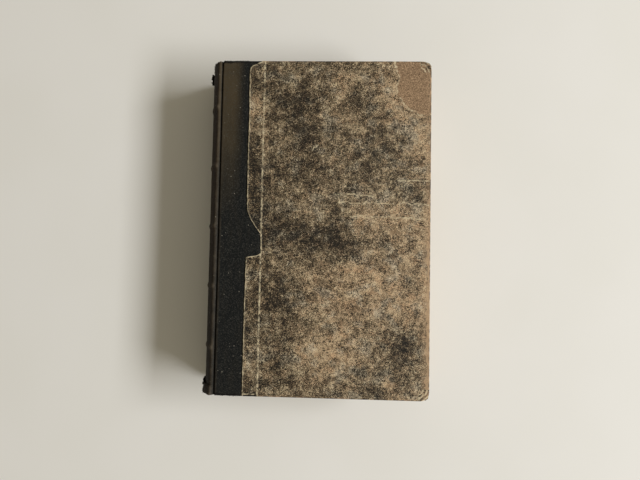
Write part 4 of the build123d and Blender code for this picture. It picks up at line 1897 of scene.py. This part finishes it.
@dataclass
class EndBand:
    """A thread-wound band over the backs of the leaves, at one end of the spine."""

    sizes: BookSizes
    end: End
    finish: bpy.types.Material
    half_span: float = 27.0
    radius: float = 0.85
    thread: float = 0.3
    rise: float = 1.05
    winding: float = 1.7
    lean: float = 7.0
    uneven_lean: float = 0.03
    seed: int = 11

    def make(self) -> bpy.types.Object:
        """Grows the band.

        Returns:
            The piece, which rides on the text block's body.
        """
        s = self.sizes
        start, end = 180 - self.half_span, 180 + self.half_span
        line = arc((s.spine_centre_x, s.mid), s.spine_radius - self.radius, start, end, 1)
        y = self.end.value * (s.leaf_half_height + self.rise)
        line = np.column_stack([line[:, 0], np.full(len(line), y), line[:, 1]]) * MM
        grown = GrownPiece(f"{self.end.word}_thread_band", {
            "Pitch": ("Float", self.thread * self.winding * MM),
            "Wrap Radius": ("Float", (self.radius - self.thread / 2) * MM),
            "Thread Radius": ("Float", self.thread / 2 * MM),
            "Lean": ("Float", math.radians(self.lean)),
            "Seed": ("Int", self.seed),
            "Finish": ("Material", self.finish),
        })
        points, rotation = grown.spaced()
        rings = {0: grown.circle(12, "Wrap Radius"), 1: grown.circle(6, "Thread Radius")}
        turn = grown.desk.add("GeometryNodeCurveToMesh", {}, rings)
        lean = grown.input("Lean") + grown.random(-self.uneven_lean, self.uneven_lean, 0)
        inputs = {"Points": points, "Instance": turn, "Rotation": grown.tilted(rotation, lean)}
        grown.end(grown.desk.add("GeometryNodeInstanceOnPoints", {}, inputs))
        piece = grown.grow(line)
        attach(piece, "text_block")
        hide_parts(f"{self.end.word}_band")
        return piece


@dataclass
class Studio:
    """The pale surface, the wide soft light from the right and the camera above the book."""

    camera_place: tuple[float, float, float] = (15.4, -24.2, 360.1)
    camera_turn: tuple[float, float, float] = (2.82, 2.16, 1.08)
    lens: float = 27.0
    sensor: float = 36.0
    light_bearing: float = -5.0
    light_height: float = 33.5
    light_distance: float = 3.0
    light_width: float = 2.3
    light_depth: float = 0.66
    light_power: float = 104.0
    room_colour: tuple[float, float, float, float] = (1.0, 0.9, 0.68, 1.0)
    room_strength: float = 0.29
    room_lean: float = 0.6
    floor_reach: float = 1.5

    def make(self) -> None:
        """Builds the surface, the light and the camera."""
        bpy.context.scene.view_settings.view_transform = "Standard"
        self.make_floor()
        self.make_light()
        self.make_camera()

    def make_floor(self) -> None:
        """The pale surface that the book lies on."""
        reach = self.floor_reach
        mesh = bpy.data.meshes.new("pale_surface")
        corners = [(-reach, -reach, 0), (reach, -reach, 0), (reach, reach, 0), (-reach, reach, 0)]
        mesh.from_pydata(corners, [], [(0, 1, 2, 3)])
        floor = add_object("pale_surface", mesh)
        material, desk, shader = shaded("pale_surface")
        soft = desk.noise(desk.place_mm(), 90.0, 2, 0.5, 1.0)
        colour = desk.blend(soft.rise(0.3, 0.7), paint("#e6e5e1"), paint("#e8e7e4"))
        dress(desk, shader, {"Base Color": colour, "Roughness": 0.9, "Specular IOR Level": 0.1}, soft, 0.01)
        mesh.materials.append(material)

    def make_light(self) -> None:
        """The window's soft light and the room's warm light."""
        bearing, height = math.radians(self.light_bearing), math.radians(self.light_height)
        level = math.cos(height)
        way = Vector((level * math.cos(bearing), level * math.sin(bearing), math.sin(height)))
        light = bpy.data.lights.new("window", "AREA")
        light.shape, light.energy = "RECTANGLE", self.light_power
        light.size, light.size_y = self.light_width, self.light_depth
        lamp = add_object("window", light)
        lamp.location = way * self.light_distance
        lamp.rotation_euler = way.to_track_quat("Z", "Y").to_euler()
        world = bpy.data.worlds.new("room")
        world.use_nodes = True
        desk = Desk(world.node_tree)
        way_in = desk.parts(desk.add("ShaderNodeTexCoord", {}, {}, "Generated"))
        strength = self.room_strength * (1 + way_in[0] * self.room_lean)
        background = world.node_tree.nodes["Background"]
        background.inputs["Color"].default_value = self.room_colour
        world.node_tree.links.new(strength.socket, background.inputs["Strength"])
        bpy.context.scene.world = world

    def make_camera(self) -> None:
        """The camera, at the photograph's viewing angle."""
        camera = bpy.data.cameras.new("camera")
        camera.lens, camera.sensor_width, camera.clip_start = self.lens, self.sensor, 0.01
        holder = add_object("camera", camera)
        holder.location = [place * MM for place in self.camera_place]
        holder.rotation_euler = [math.radians(turn) for turn in self.camera_turn]
        bpy.context.scene.camera = holder


FRONT_TORN = (
    (9.3, 0.0), (7.6, 0.9), (4.9, 1.9), (4.1, 2.6), (1.9, 3.2), (0.4, 4.6), (-0.2, 8.0), (0.2, 30.0),
    (0.0, 68.0), (0.3, 100.6), (1.4, 104.6), (3.2, 108.6), (6.7, 113.9), (9.9, 117.9), (10.2, 130.6),
    (7.8, 132.3), (0.5, 133.4), (0.4, 141.0), (0.0, 168.0), (0.0, 225.0),
)
FRONT_PATCH = (
    (23.9, -3.0), (23.9, 4.0), (21.8, 9.5), (23.1, 16.3), (22.3, 23.1), (14.3, 31.9), (8.3, 35.3),
    (-3.0, 36.8), (-3.0, -3.0),
)
FRONT_BLOTS = (
    Blot((48, 193), (14, 8), 0.13), Blot((58, 172), (8, 14), 0.1), Blot((50, 153), (11, 10), 0.13),
    Blot((93, 199), (8, 6), 0.16), Blot((110, 166), (9, 8), 0.15), Blot((101, 155), (12, 6), 0.1),
    Blot((22, 126), (7, 26), 0.14), Blot((48, 109), (24, 8), 0.2), Blot((81, 101), (13, 8), 0.2),
    Blot((38, 68), (10, 14), 0.1), Blot((45, 48), (16, 12), 0.07), Blot((132, 134), (8, 6), 0.1),
    Blot((124, 36), (10, 8), 0.3), Blot((121, 18), (14, 8), 0.16), Blot((104, 5), (12, 5), 0.14),
    Blot((22, 160), (5, 10), 0.08), Blot((22, 192), (6, 9), -0.2), Blot((30, 171), (4, 6), -0.1),
    Blot((24, 26), (6, 13), -0.13), Blot((79, 34), (15, 18), -0.15), Blot((104, 74), (18, 15), -0.08),
    Blot((118, 116), (17, 10), -0.1), Blot((122, 203), (17, 18), -0.08), Blot((70, 83), (12, 7), -0.08),
    Blot((95, 142), (36, 16), 0.06), Blot((92, 60), (24, 22), -0.07), Blot((138, 80), (4, 60), -0.08),
    Blot((116, 9), (4, 3), -0.25), Blot((98, 121), (8, 5), -0.08), Blot((26, 46), (11, 13), 0.06),
    Blot((118, 140), (20, 13), 0.045), Blot((88, 111), (9, 6), -0.08), Blot((77, 88), (8, 7), 0.07),
    Blot((66, 24), (10, 15), -0.045), Blot((57, 92), (14, 6), 0.04),
)
BACK_BLOTS = (
    Blot((40, 60), (14, 9), 0.26), Blot((96, 180), (12, 8), 0.24), Blot((70, 120), (18, 8), -0.2),
    Blot((118, 70), (10, 12), 0.22), Blot((50, 160), (12, 14), -0.18), Blot((100, 30), (14, 9), -0.2),
)
FRONT_SCUFFS = (
    Scuff((78, 135), (103, 133.5)), Scuff((80, 129), (140, 128.5)), Scuff((88, 120), (136, 119)),
    Scuff((120, 144), (140, 144)), Scuff((80, 133), (83, 123)), Scuff((62, 164), (66, 168), 0.6),
    Scuff((103, 223.6), (113, 221.2), 0.6),
)


def dress_hidden_parts(cord: bpy.types.Material, lining: bpy.types.Material) -> None:
    """Gives the solids that stay as they are their finishes.

    Args:
        cord: What the cords and their ends in the boards are made of.
        lining: What the spine linings are made of.
    """
    for node, piece in frame["nodes"].items():
        if "cord" in node or "lining" in node:
            piece.data.materials.clear()
            piece.data.materials.append(cord if "cord" in node else lining)


def main() -> None:
    """Builds every piece of the book, its studio and its camera."""
    sizes = BookSizes.from_frame()
    Studio().make()
    cloth = BookCloth(sizes).make()
    layered = (1.0, 1.0, 5.0)
    board = PlainStock("pasteboard", "#8a7759", "#5c4c38", "#33291d", 12.0, 0.5, layered, 0.08).make()
    endpaper = PlainStock("endpaper", "#d6c7a4", "#b99f74", "#8a6c46").make()
    silk = PlainStock("band_thread", "#8f7c5b", "#5d4b35", "#3a2e20", 4.0, 0.3).make()
    cord = PlainStock("hemp_cord", "#a58d66", "#75603f", "#4b3b26", 6.0, 0.4, relief=0.1).make()
    lining = PlainStock("lining_paper", "#b9a887", "#8e7a58", "#5f4d36").make()
    loose = PlainStock("frayed_thread", "#0c0a08", "#1c1712", "#2b241c", 5.0, 0.3).make()
    edges = LeafEdges(sizes).make()
    papers = {
        Side.FRONT: SidePaper(
            sizes, Side.FRONT, MottledPaper(sizes, Side.FRONT, FRONT_SCUFFS).make(),
            FRONT_TORN, FRONT_PATCH, FRONT_BLOTS,
        ),
        Side.BACK: SidePaper(
            sizes, Side.BACK, MottledPaper(sizes, Side.BACK).make(), blots=BACK_BLOTS,
            edge_spacing=0.6, spacing=1.6, notch=(100, 101), lean=0.0, seed=9.0,
        ),
    }
    made = [LeafStack(sizes, edges).make()]
    for end in End:
        made.append(EndBand(sizes, end, silk).make())
    for side in Side:
        covering = CoverCloth(sizes, side, cloth, loose)
        made += [covering.make(), *covering.threads]
        made.append(papers[side].make())
        made.append(Pasteboard(sizes, side, board).make())
        made += Endpapers(sizes, side, endpaper).make()
    dress_hidden_parts(cord, lining)
    for piece in made:
        logger.info("%s: %d faces", piece.name, len(piece.data.polygons))


if __name__ == "__main__":
    logging.basicConfig(level=logging.INFO, format="%(message)s")
    main()
